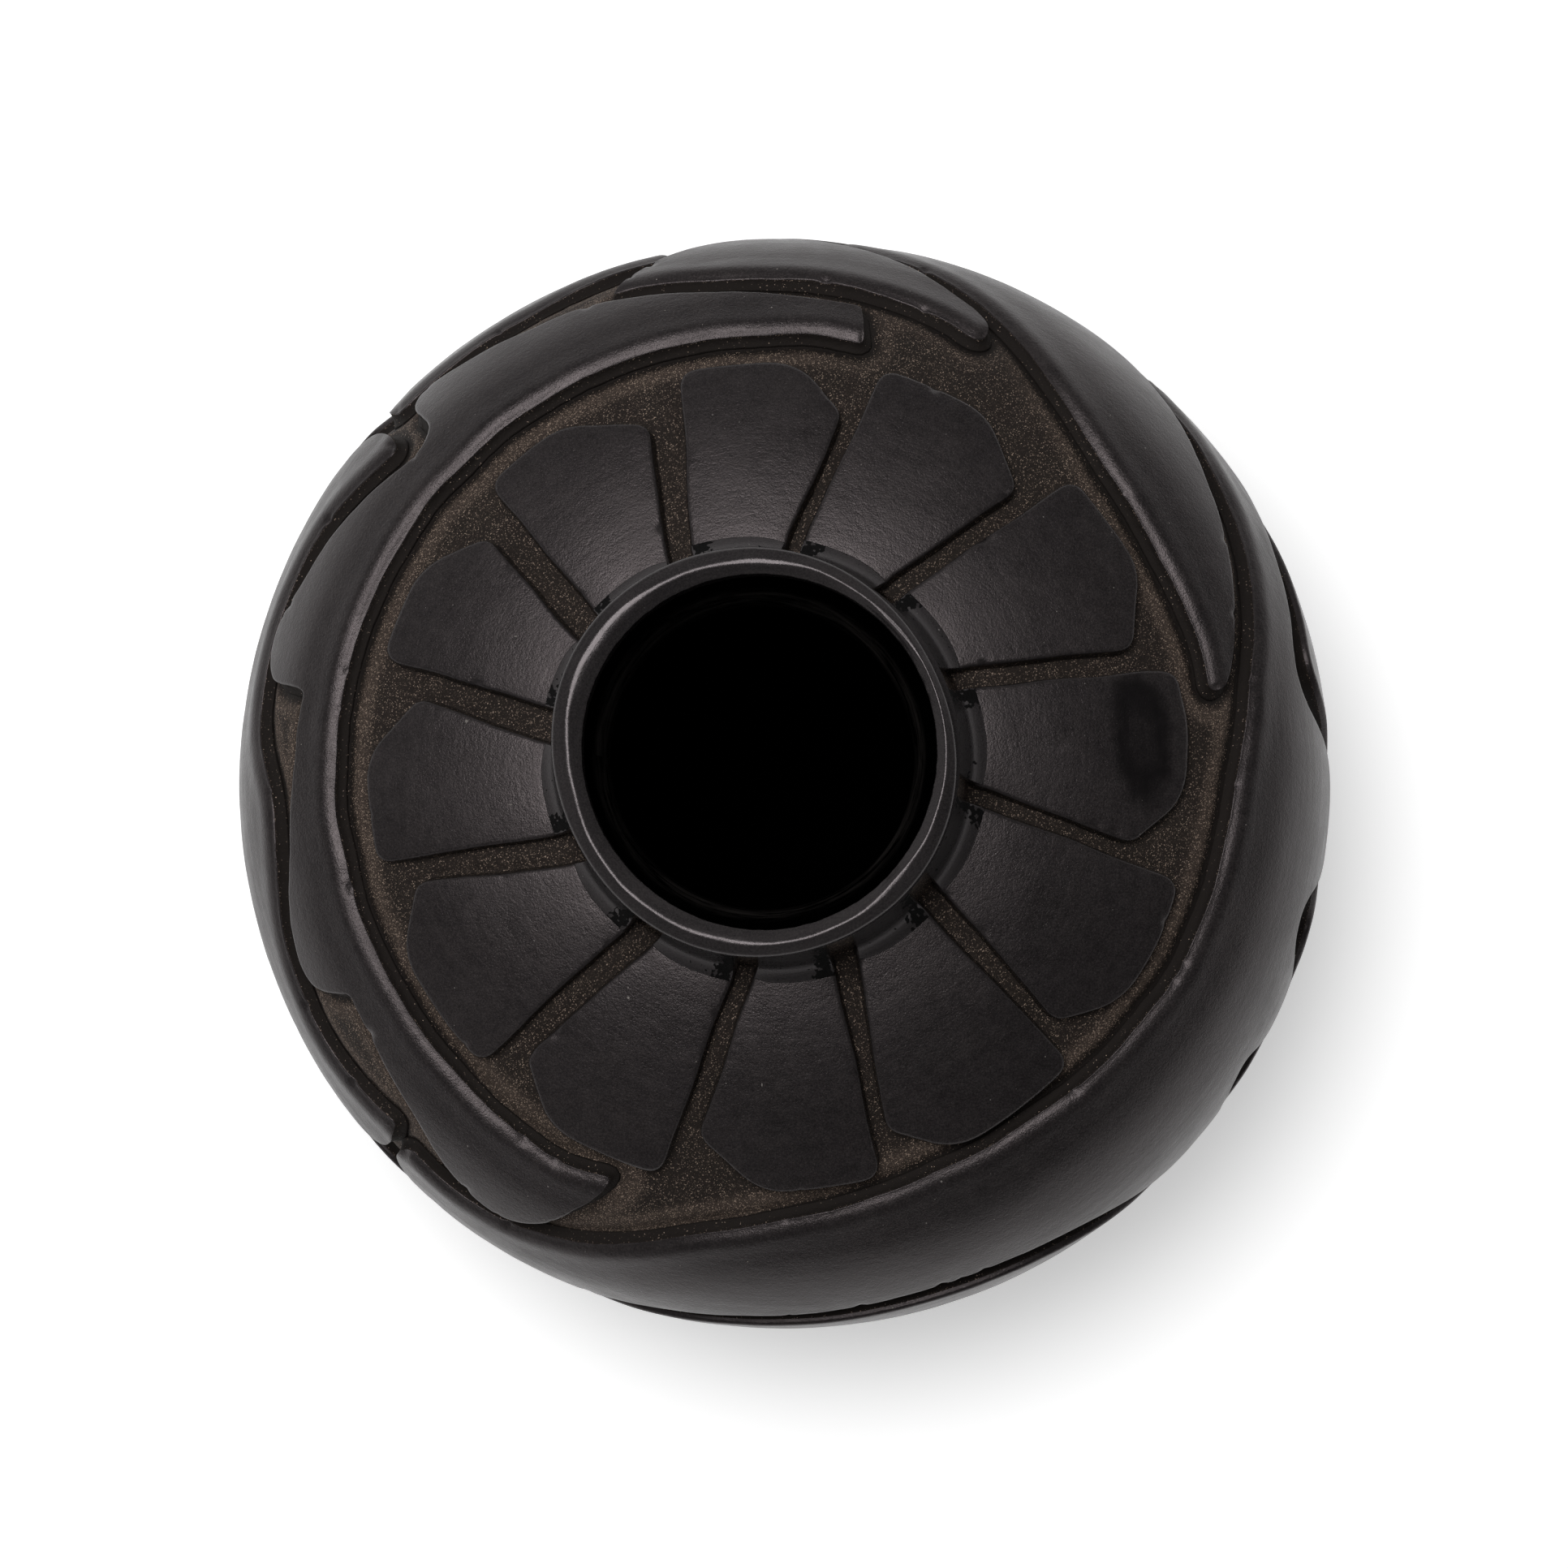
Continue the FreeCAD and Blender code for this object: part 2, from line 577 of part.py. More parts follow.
def wall_face(meridian, run):
    """The cut along one run of an outline, square to the body, past both sides of the skin."""
    steps = [0.0]
    for (azimuth_a, reach_a), (azimuth_b, reach_b) in zip(run, run[1:]):
        first = meridian.point(azimuth_a, reach_a, 0.0)
        steps.append(steps[-1] + first.distanceToPoint(meridian.point(azimuth_b, reach_b, 0.0)))
    closed = run[0] == run[-1]
    rails = []
    for depth in (-WALL_OVERCUT, meridian.relief_depth + WALL_OVERCUT):
        places = [meridian.point(azimuth, reach, depth) for azimuth, reach in run]
        curve = Part.BSplineCurve()
        if closed:
            curve.interpolate(Points=places[:-1], Parameters=steps, PeriodicFlag=True)
        else:
            curve.interpolate(Points=places, Parameters=steps)
        rails.append(curve.toShape())
    return Part.makeRuledSurface(*rails)


def make_band_shape(meridian, outline):
    """The part of the skin inside an outline of several runs."""
    azimuths = [azimuth for run in outline for azimuth, _ in run]
    reaches = [reach for run in outline for _, reach in run]
    first_azimuth = min(azimuths) - SECTOR_MARGIN
    angle = max(azimuths) + SECTOR_MARGIN - first_azimuth
    belly_start = meridian.arcs[1][0]
    first_reach = max(min(reaches) - SECTOR_MARGIN, belly_start)
    last_reach = min(max(reaches) + SECTOR_MARGIN, BAND_END_REACH)
    face = meridian.skin_face(first_reach, last_reach)
    sector = face.revolve(Vector(), Z_AXIS, angle)
    sector.rotate(Vector(), Z_AXIS, first_azimuth)
    walls = [wall_face(meridian, run) for run in outline]
    pieces = SplitAPI.slice(sector, walls, "Split").Solids
    corner = meridian.point(first_azimuth, first_reach, 0.0)
    inside = [p for p in pieces if p.distToShape(Part.Vertex(corner))[0] > SAME_PLACE]
    return max(inside, key=lambda piece: piece.Volume)


def flat_outline(outline, step=0.25):
    """Close-set (azimuth, reach) places along an outline."""
    places = []
    for run in outline:
        curve = Part.BSplineCurve()
        curve.interpolate([Vector(azimuth, reach, 0) for azimuth, reach in run])
        count = max(2, int(curve.length() / step))
        places += [(p.x % 360, p.y) for p in curve.discretize(count)]
    return places


def skirt_edge(channel_width):
    """Upper edge of the lower skirt: a channel's width below the lowest carving."""
    places = [place for outline in BANDS.values() for place in flat_outline(outline)]
    lowest = []
    for azimuth in range(0, 360):
        near = [reach for other, reach in places
                if abs((other - azimuth + 180) % 360 - 180) < EDGE_WINDOW]
        lowest.append(max(near))
    edge = []
    for azimuth in range(0, 360, EDGE_STEP):
        shifts = range(-SMOOTHING_SPAN, SMOOTHING_SPAN + 1)
        window = [lowest[(azimuth + shift) % 360] for shift in shifts]
        edge.append((azimuth, sum(window) / len(window) + channel_width))
    return edge + [edge[0]]


def make_skirt_shape(meridian, channel_width):
    """The plain burnished skin of the lower body, below the carving and down to the base."""
    edge = skirt_edge(channel_width)
    first = min(reach for _, reach in edge) - SECTOR_MARGIN
    skin = meridian.skin_face(first, meridian.length).revolve(Vector(), Z_AXIS, 360)
    pieces = SplitAPI.slice(skin, [wall_face(meridian, edge)], "Split").Solids
    return min(pieces, key=lambda piece: piece.BoundBox.ZMin)


def add_carving(doc, name, shape):
    feature = doc.addObject("Part::Feature", name)
    feature.Label = name
    feature.Shape = shape
    return feature


def make_vessel(doc):
    """The stages that the vessel is built up in, from the base to the lip."""
    run = f"({cell('crease_radius')} - {SHOULDER_CENTRE[0]})"
    seat = f"asin({run} / ({cell('shoulder_arc_radius')} - {cell('relief_depth')}))"
    joints = (
        (seat, "across"),
        (cell("shoulder_end_tilt"), "across"),
        (cell("belly_joint_tilt"), "up"),
        (cell("belly_end_tilt"), "up"),
        (cell("base_start_tilt"), "across"),
    )
    stages = (
        ("shoulder_wall", SHOULDER_CENTRE, "shoulder_arc_radius"),
        ("belly_wall", BELLY_CENTRE, "belly_arc_radius"),
        ("lower_belly_wall", BELLY_CENTRE, "belly_arc_radius"),
        ("lower_wall", LOWER_CENTRE, "lower_arc_radius"),
    )
    walls = [
        make_wall_stage(doc, *stage, *ends)
        for stage, *ends in zip(stages, joints, joints[1:])
    ]
    return [make_base_pat(doc), *walls, make_neck_collar(doc), make_rim_lip(doc)]


def check(doc, parts):
    for item in doc.Objects:
        if "Invalid" in item.State or "Error" in item.State:
            raise RuntimeError(f"{item.Name} failed: {item.State}")
    for part in parts:
        if part.Shape.isNull() or not part.Shape.isValid():
            raise RuntimeError(f"{part.Label} has no valid shape")


def main():
    doc = FreeCAD.newDocument("carved_clay_pot")
    sheet = make_sheet(doc)
    meridian = Meridian(sheet)
    parts = make_vessel(doc)
    parts += [make_feather(doc, sheet, number) for number in range(1, len(FEATHERS) + 1)]
    for name, outline in BANDS.items():
        parts.append(add_carving(doc, name, make_band_shape(meridian, outline)))
    skirt = make_skirt_shape(meridian, sheet.channel_width)
    parts.append(add_carving(doc, "lower_skirt", skirt))
    doc.recompute()
    check(doc, parts)
    os.makedirs("parts", exist_ok=True)
    for part in parts:
        part.Shape.exportStep(f"parts/{part.Label}.step")
        print(part.Label, len(part.Shape.Solids), round(part.Shape.Volume, 1))


main()
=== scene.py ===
import math
import random
from collections import namedtuple

import bpy
import numpy as np
from mathutils import Matrix, Vector, kdtree, noise
from mathutils.geometry import delaunay_2d_cdt


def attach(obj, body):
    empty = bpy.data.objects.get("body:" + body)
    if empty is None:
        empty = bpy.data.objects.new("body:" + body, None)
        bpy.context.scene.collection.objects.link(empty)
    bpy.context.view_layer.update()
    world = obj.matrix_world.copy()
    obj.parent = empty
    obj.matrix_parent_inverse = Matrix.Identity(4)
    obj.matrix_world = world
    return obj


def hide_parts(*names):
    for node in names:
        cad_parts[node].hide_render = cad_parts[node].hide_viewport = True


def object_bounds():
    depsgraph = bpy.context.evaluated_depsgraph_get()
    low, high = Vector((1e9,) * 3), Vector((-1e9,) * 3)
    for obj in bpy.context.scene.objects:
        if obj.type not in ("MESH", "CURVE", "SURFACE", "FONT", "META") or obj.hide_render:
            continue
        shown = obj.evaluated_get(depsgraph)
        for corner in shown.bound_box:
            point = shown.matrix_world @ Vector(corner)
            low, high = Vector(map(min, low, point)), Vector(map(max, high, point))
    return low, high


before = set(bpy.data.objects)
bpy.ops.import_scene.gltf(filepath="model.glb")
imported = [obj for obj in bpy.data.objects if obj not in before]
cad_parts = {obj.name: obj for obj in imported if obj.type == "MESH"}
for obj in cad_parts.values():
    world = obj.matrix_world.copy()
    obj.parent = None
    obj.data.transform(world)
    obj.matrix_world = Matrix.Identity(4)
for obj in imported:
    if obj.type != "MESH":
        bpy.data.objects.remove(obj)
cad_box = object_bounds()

# The scene dresses the carved clay pot. Lengths are in metres, and MM is one millimetre.
# A place on the body is (azimuth, reach, depth): azimuth in radians, anticlockwise from +X,
# reach down the body from the crease at the neck, and depth below the burnished surface.
MM = 0.001
SEED = 12
RELIEF = 2.4 * MM
WALL_DEPTH = 8.0 * MM
BODY_RADIUS = round(max(cad_box[1].x, cad_box[1].y), 4)
BELLY_HEIGHT = 50.0 * MM
CREASE_RADIUS = 30.3 * MM

# Arcs of the outline from the crease down: radius, and tilt of the normal at the lower end.
SHOULDER_ARC = (105.4 * MM, math.radians(26.3))
BELLY_ARC = (34.0 * MM, math.radians(125.0))
LOWER_ARC = (87.5 * MM, math.radians(157.2))


def outline_arcs():
    """Rows of (reach at start, tilt at start, centre radius, centre height, arc radius)."""
    belly = (BODY_RADIUS - BELLY_ARC[0], BELLY_HEIGHT)
    rows = []
    reach = 0.0
    tilt = None
    for (radius, end), joint in ((SHOULDER_ARC, SHOULDER_ARC[1]), (BELLY_ARC, 0.0),
                                 (LOWER_ARC, BELLY_ARC[1])):
        gap = BELLY_ARC[0] - radius
        centre = (belly[0] + gap * math.sin(joint), belly[1] + gap * math.cos(joint))
        if tilt is None:
            tilt = math.asin((CREASE_RADIUS - centre[0]) / radius)
        rows.append((reach, tilt, centre[0], centre[1], radius))
        reach += radius * (end - tilt)
        tilt = end
    return np.array(rows), reach


ARCS, BODY_LENGTH = outline_arcs()


def section(reach, depth):
    """Radius and height of places on the body, from arrays of reach and depth."""
    reach = np.asarray(reach, float)
    row = np.clip(np.searchsorted(ARCS[:, 0], reach, side="right") - 1, 0, len(ARCS) - 1)
    start, tilt, centre_r, centre_z, radius = ARCS[row].T
    angle = tilt + (reach - start) / radius
    size = radius - depth
    return centre_r + size * np.sin(angle), centre_z + size * np.cos(angle)


def place(azimuth, reach, depth):
    """Points in space, as rows, from arrays of azimuth, reach and depth."""
    radius, height = section(reach, depth)
    return np.stack([radius * np.cos(azimuth), radius * np.sin(azimuth), height], axis=-1)


def locate(points):
    """Azimuth, reach and depth of points near the body's surface."""
    across = np.hypot(points[:, 0], points[:, 1])
    angles = [np.arctan2(across - row[2], points[:, 2] - row[3]) for row in ARCS]
    choice = np.where(angles[0] < SHOULDER_ARC[1], 0, np.where(angles[2] > BELLY_ARC[1], 2, 1))
    start, tilt, centre_r, centre_z, radius = ARCS[choice].T
    angle = np.choose(choice, angles)
    depth = radius - np.hypot(across - centre_r, points[:, 2] - centre_z)
    return np.arctan2(points[:, 1], points[:, 0]), start + (angle - tilt) * radius, depth


def smooth_step(low, high, value):
    t = np.clip((value - low) / (high - low), 0.0, 1.0)
    return t * t * (3 - 2 * t)


def field(points, scale, seed):
    """Smooth noise between -1 and 1 at points, with features about scale across."""
    shift = Vector((seed * 7.31, seed * 3.17, seed * 1.93))
    return np.array([noise.noise(Vector(p) / scale + shift) for p in points])


def roughness(points, *rows, start=0.0):
    """Start plus noises at points, from rows of (size, features in millimetres, seed)."""
    return sum((size * field(points, scale * MM, seed) for size, scale, seed in rows), start)


def full_turn(count):
    return np.linspace(0, 2 * math.pi, count, endpoint=False)


def turned_from(turns, azimuth):
    """How far turns are from an azimuth, between half a turn back and half a turn on."""
    return (turns - azimuth + math.pi) % (2 * math.pi) - math.pi


# -------- outlines of the carving

WELD_SIZE = 0.001 * MM
TOP_DEPTH = 0.02 * MM


def top_loops(node):
    """Closed loops round the burnished face of a CAD node, as arrays of (azimuth, reach)."""
    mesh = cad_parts[node].data
    points = np.empty(len(mesh.vertices) * 3)
    mesh.vertices.foreach_get("co", points)
    points = points.reshape(-1, 3)
    _, first, same = np.unique((points / WELD_SIZE).round().astype(np.int64), axis=0,
                               return_index=True, return_inverse=True)
    same = same.reshape(-1)
    azimuth, reach, depth = locate(points[first])
    mesh.calc_loop_triangles()
    triangles = np.empty(len(mesh.loop_triangles) * 3, np.int32)
    mesh.loop_triangles.foreach_get("vertices", triangles)
    triangles = same[triangles].reshape(-1, 3)
    on_top = np.abs(depth) < TOP_DEPTH
    triangles = triangles[on_top[triangles].all(axis=1)]
    edges = {(a, b) for t in triangles.tolist() for a, b in zip(t, t[1:] + t[:1]) if a != b}
    following = {a: b for a, b in edges if (b, a) not in edges}
    loops = []
    while following:
        start, current = following.popitem()
        loop = [start]
        while current in following:
            loop.append(current)
            current = following.pop(current)
        loops.append(np.stack([np.unwrap(azimuth[loop]), reach[loop]], axis=-1))
    return loops


def run_length(line):
    """Distance along a closed line of (azimuth, reach) rows, at each row and at the end."""
    spots = place(line[:, 0], line[:, 1], 0.0)
    steps = np.linalg.norm(np.roll(spots, -1, axis=0) - spots, axis=1)
    return np.concatenate([[0.0], np.cumsum(steps)])


def resample(line, spacing):
    """The closed line again, with rows at an even spacing."""
    along = run_length(line)
    closed = np.vstack([line, line[:1]])
    count = max(12, int(along[-1] / spacing))
    stops = np.linspace(0.0, along[-1], count, endpoint=False)
    return np.stack([np.interp(stops, along, closed[:, i]) for i in (0, 1)], axis=-1)


def soften(line, passes):
    for _ in range(passes):
        line = (np.roll(line, 1, axis=0) + 2 * line + np.roll(line, -1, axis=0)) / 4
    return line


def outward(line):
    """Unit vectors, as rows of (across, down) lengths, that point out of a closed line."""
    ahead = np.roll(line, -1, axis=0) - np.roll(line, 1, axis=0)
    radius = section(line[:, 1], 0.0)[0]
    across = ahead[:, 0] * radius
    down = ahead[:, 1]
    size = np.maximum(np.hypot(across, down), 1e-12)
    flip = 1.0 if signed_area(line) > 0 else -1.0
    return np.stack([down / size, -across / size], axis=-1) * flip


def signed_area(line):
    nxt = np.roll(line, -1, axis=0)
    return 0.5 * np.sum(line[:, 0] * nxt[:, 1] - nxt[:, 0] * line[:, 1])


def shifted(line, directions, distance):
    """The line moved along directions by a distance, which may be an array."""
    radius = section(line[:, 1], 0.0)[0]
    move = directions * np.reshape(distance, (-1, 1))
    return line + np.stack([move[:, 0] / radius, move[:, 1]], axis=-1)


def wobble(line, size, wavelength, rng):
    """Slow sideways error of a hand-held tool, one value for each row of a closed line."""
    along = run_length(line)
    total = along[-1]
    result = np.zeros(len(line))
    for _ in range(5):
        turns = max(1, round(total / wavelength * rng.uniform(0.5, 1.8)))
        phase = rng.uniform(0, 2 * math.pi)
        result += rng.uniform(0.3, 1.0) * np.sin(along[:-1] / total * 2 * math.pi * turns + phase)
    return result * size / 2.2


def tree_of(points):
    tree = kdtree.KDTree(len(points))
    for index, point in enumerate(points):
        tree.insert(point, index)
    tree.balance()
    return tree


def distances(tree, points):
    return np.array([tree.find(p)[2] for p in points])


# -------- meshes

def new_piece(name, points, faces, material):
    mesh = bpy.data.meshes.new(name)
    mesh.from_pydata([tuple(p) for p in points], [], faces)
    mesh.validate()
    mesh.shade_smooth()
    piece = bpy.data.objects.new(name, mesh)
    bpy.context.scene.collection.objects.link(piece)
    mesh.materials.append(material)
    return piece


def finish_piece(piece, slot, *nodes):
    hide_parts(*nodes)
    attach(piece, "root")


def quads_between(first, second, up):
    """Quads between two closed rings of vertex numbers, turned over unless up."""
    quads = list(zip(first, first[1:] + first[:1], second[1:] + second[:1], second))
    return quads if up else [quad[::-1] for quad in quads]


def round_drop(distance, radius):
    """How far a rounded edge has dropped at a distance in from its side."""
    t = np.clip(1.0 - distance / radius, 0.0, 1.0)
    return radius * (1.0 - np.sqrt(1.0 - t * t))


# Rings of vertices follow the edge, this far in, in millimetres. Those from FULL_RINGS on have
# half as many vertices, and any that come nearer to another stretch of the edge are left out.
RING_STEPS = (0.05, 0.16, 0.32, 0.52, 0.78, 1.1, 1.45, 1.85, 2.3, 2.9, 3.6)
FULL_RINGS = 1.0
RING_SLACK = 0.93
INNER_SPACING = 1.1 * MM
# The cut wall: share of the way down, and how far it leans out, in millimetres.
WALL_ROWS = ((0.12, 0.03), (0.28, 0.08), (0.46, 0.17), (0.62, 0.28), (0.76, 0.42), (0.88, 0.6),
             (1.0, 0.75))
WALL_BOTTOM = 2.75 * MM


# How a kind of raised piece is shaped: radius of its edge, whether it has a bead, spacing of its
# vertices, unevenness of its outline and top, lean of its wall and painted shade on the wall's
# grit.
Style = namedtuple("Style", "edge ridge spacing wobble_size ragged swell pillow slope cut_tone")
FEATHER = Style(edge=0.38 * MM, ridge=False, spacing=0.45 * MM, wobble_size=0.17 * MM,
                ragged=0.03 * MM, swell=0.16 * MM, pillow=0.20 * MM, slope=0.6, cut_tone=-0.15)
BAND = Style(edge=0.45 * MM, ridge=True, spacing=0.5 * MM, wobble_size=0.18 * MM,
             ragged=0.08 * MM, swell=0.22 * MM, pillow=0.0, slope=1.7, cut_tone=-0.9)
WOBBLE_LENGTH = 22 * MM
PILLOW_WIDTH = 1.8 * MM
NICK_SPACING = 30 * MM
NICK_SIZE = 0.55 * MM

# Section across a band: distance in from its upper edge, and depth, blurred by the shifts.
RIDGE_ROWS = np.array([
    (0.0, 1.30), (0.3, 0.98), (0.7, 0.70), (1.2, 0.46), (1.7, 0.31), (2.2, 0.25), (2.8, 0.25),
    (3.5, 0.29), (4.5, 0.30), (5.5, 0.25), (7.0, 0.13), (9.0, 0.03), (10.5, 0.0), (30.0, 0.0),
]).T * MM
RIDGE_BLUR = np.linspace(-0.6, 0.6, 9) * MM


def ridge_drop(distance):
    """Depth across a band in from its upper edge: a bead, a trough, and then the full height."""
    return sum(np.interp(distance + shift, *RIDGE_ROWS) for shift in RIDGE_BLUR) / len(RIDGE_BLUR)


def inside_points(line, spacing, margin, tree, scale):
    """Places on a staggered grid inside a closed line, at least margin from it."""
    chart = line * scale
    low, high = chart.min(axis=0), chart.max(axis=0)
    rows = np.arange(low[1], high[1], spacing * 0.87)
    grid = []
    for number, y in enumerate(rows):
        xs = np.arange(low[0] + (number % 2) * spacing / 2, high[0], spacing)
        grid.append(np.stack([xs, np.full(len(xs), y)], axis=-1))
    grid = np.vstack(grid)
    x0, y0 = chart[:, 0], chart[:, 1]
    x1, y1 = np.roll(x0, -1), np.roll(y0, -1)
    inside = np.zeros(len(grid), bool)
    for a, b, c, d in zip(x0, y0, x1, y1):
        if b != d:
            crosses = ((b > grid[:, 1]) != (d > grid[:, 1]))
            inside ^= crosses & (grid[:, 0] < (c - a) * (grid[:, 1] - b) / (d - b) + a)
    grid = grid[inside] / scale
    far = distances(tree, place(grid[:, 0], grid[:, 1], 0.0)) > margin
    return grid[far]


def raised_mesh(line, style, seed):
    """A raised piece's outline and its outward directions; its top's vertices and faces; and the
    vertex numbers round the top's edge, with how far each vertex has dropped."""
    rng = random.Random(seed)
    line = soften(resample(line, style.spacing), 1)
    directions = outward(line)
    line = shifted(line, directions, wobble(line, style.wobble_size, WOBBLE_LENGTH, rng))
    line = soften(resample(line, style.spacing), 1)
    directions = outward(line)
    spots = place(line[:, 0], line[:, 1], 0.0)
    ragged = roughness(spots, (1, 2.6, seed + 30), (0.6, 1.1, seed + 31))
    line = shifted(line, directions, style.ragged * ragged)
    count = len(line)
    dense = resample(line, style.spacing / 3)
    tree = tree_of(place(dense[:, 0], dense[:, 1], 0.0))
    rows = [line]
    for step in RING_STEPS:
        ring = shifted(line, directions, -step * MM)
        kept = distances(tree, place(ring[:, 0], ring[:, 1], 0.0)) > step * MM * RING_SLACK
        every = 1 if step < FULL_RINGS else 2
        rows.append(ring[kept][::every])
    scale = np.array([section(np.mean(line[:, 1]), 0.0)[0], 1.0])
    rows.append(inside_points(line, INNER_SPACING, (RING_STEPS[-1] + 0.5) * MM, tree, scale))
    flat = np.vstack(rows)
    chart = flat * scale / MM
    loop = list(range(count))[::1 if signed_area(line) > 0 else -1]
    triangulation = delaunay_2d_cdt([Vector(p) for p in chart], [], [loop], 1, 1e-4)
    faces, sources = triangulation[2:4]
    order = [s[0] if s else 0 for s in sources]
    flat = flat[order]
    spots = place(flat[:, 0], flat[:, 1], 0.0)
    distance = distances(tree, spots)
    drop = style_drop(style, dense, spots, distance, seed)
    drop += style.pillow * np.exp(-distance / PILLOW_WIDTH) + nicks(line, spots, rng)
    drop += style.swell * (0.5 + 0.5 * field(spots, 16 * MM, seed))
    drop += rubbed_unevenness(spots, seed)
    top = place(flat[:, 0], flat[:, 1], drop)
    position = {source: index for index, source in enumerate(order)}
    edge = [position[i] for i in range(count)]
    return line, directions, top, [tuple(f) for f in faces], edge, drop


def rubbed_unevenness(spots, seed):
    """Low facets and dimples that the polishing stone leaves, as a depth at each spot."""
    return sum(size * MM * (1 + field(spots, scale * MM, seed + number))
               for size, scale, number in ((0.045, 7.5, 49), (0.026, 3.2, 50)))


def nicks(line, spots, rng):
    """Small chips out of the edge, as a depth at each spot."""
    drop = np.zeros(len(spots))
    for _ in range(int(run_length(line)[-1] / NICK_SPACING)):
        row = line[rng.randrange(len(line))]
        size = NICK_SIZE * rng.uniform(0.6, 1.5)
        gap = np.linalg.norm(spots - place(row[0], row[1], 0.0), axis=1)
        drop += 0.5 * size * np.exp(-(gap / size) ** 2)
    return drop


def style_drop(style, dense, spots, distance, seed):
    """Depth below the burnished surface that the edges give each spot."""
    if not style.ridge:
        return round_drop(distance, style.edge)
    facing = smooth_step(0.15, 0.55, -outward(dense)[:, 1])
    samples = place(dense[:, 0], dense[:, 1], 0.0)
    # The less a stretch of the edge faces the neck, the further off its bead counts.
    upper = np.hstack([samples, (1 - facing)[:, None] * 5 * MM])[facing > 0.02]
    if not len(upper):
        return round_drop(distance, style.edge)
    nearest = []
    for block in np.array_split(spots, math.ceil(len(spots) / 2000)):
        gap = np.linalg.norm(block[:, None, :] - upper[None, :, :3], axis=2) + upper[None, :, 3]
        nearest.append(gap.min(axis=1))
    nearest = np.concatenate(nearest)
    uneven = 1 + 0.35 * field(spots, 13 * MM, seed + 40)
    return np.maximum(round_drop(distance, style.edge), ridge_drop(nearest) * uneven)


def point_values(piece, name, values):
    """Stores a number for each vertex, with zero for any vertices after the last value."""
    filled = np.zeros(len(piece.data.vertices))
    filled[:len(values)] = values
    piece.data.attributes.new(name, "FLOAT", "POINT").data.foreach_set("value", filled)


def leave_gritty(piece, gritty, cut, tone):
    """Gives the faces that touch cut vertices the background's grit, with a painted shade of
    their own.
    """
    mesh = piece.data
    corners = np.empty(len(mesh.loops), np.int32)
    mesh.loops.foreach_get("vertex_index", corners)
    starts = np.empty(len(mesh.polygons), np.int32)
    mesh.polygons.foreach_get("loop_start", starts)
    mesh.materials.append(gritty)
    marks = np.maximum.reduceat(cut[corners].astype(np.int32), starts)
    mesh.polygons.foreach_set("material_index", marks)
    # The cut faces' channel value is the painted shade on them.
    point_values(piece, "channel", tone * cut)


def raised_piece(name, line, style, seed, material, gritty):
    """One raised piece of the carving as a closed mesh, sunk a little into the background."""
    line, directions, top, faces, edge, drop = raised_mesh(line, style, seed)
    count = len(line)
    points = [top]
    total = len(top)
    rings = [edge]
    edge_drop = drop[edge]
    for share, flare in WALL_ROWS:
        low = edge_drop + (WALL_BOTTOM - edge_drop) * share
        uneven = roughness(place(line[:, 0], line[:, 1], low), (0.06 * MM, 1.6, seed + 9))
        moved = shifted(line, directions, flare * style.slope * MM + uneven)
        points.append(place(moved[:, 0], moved[:, 1], low))
        rings.append(list(range(total, total + count)))
        total += count
    azimuth, reach, _ = locate(top)
    points.append(place(azimuth, reach, np.full(len(top), WALL_BOTTOM)))
    rings.append([total + i for i in edge])
    up = signed_area(line) > 0
    sides = [quad for pair in zip(rings, rings[1:]) for quad in quads_between(*pair, up)]
    backs = [tuple(total + i for i in f[::-1]) for f in faces]
    points = np.vstack(points)
    if not faces_point_out(points, faces):
        faces = [f[::-1] for f in faces]
        backs = [f[::-1] for f in backs]
    piece = new_piece(name, points, faces + sides + backs, material)
    # The wall's faces take the grit, with the style's painted shade.
    leave_gritty(piece, gritty, np.arange(len(points)) >= len(top) + count, style.cut_tone)
    return piece, line


def faces_point_out(points, faces):
    """Whether the first faces look away from the middle of the belly."""
    a, b, c = (points[[f[k] for f in faces[:50]]] for k in (0, 1, 2))
    normal = np.cross(b - a, c - a)
    out = a.copy()
    out[:, 2] -= BELLY_HEIGHT
    return np.sum(normal * out) > 0


# -------- materials

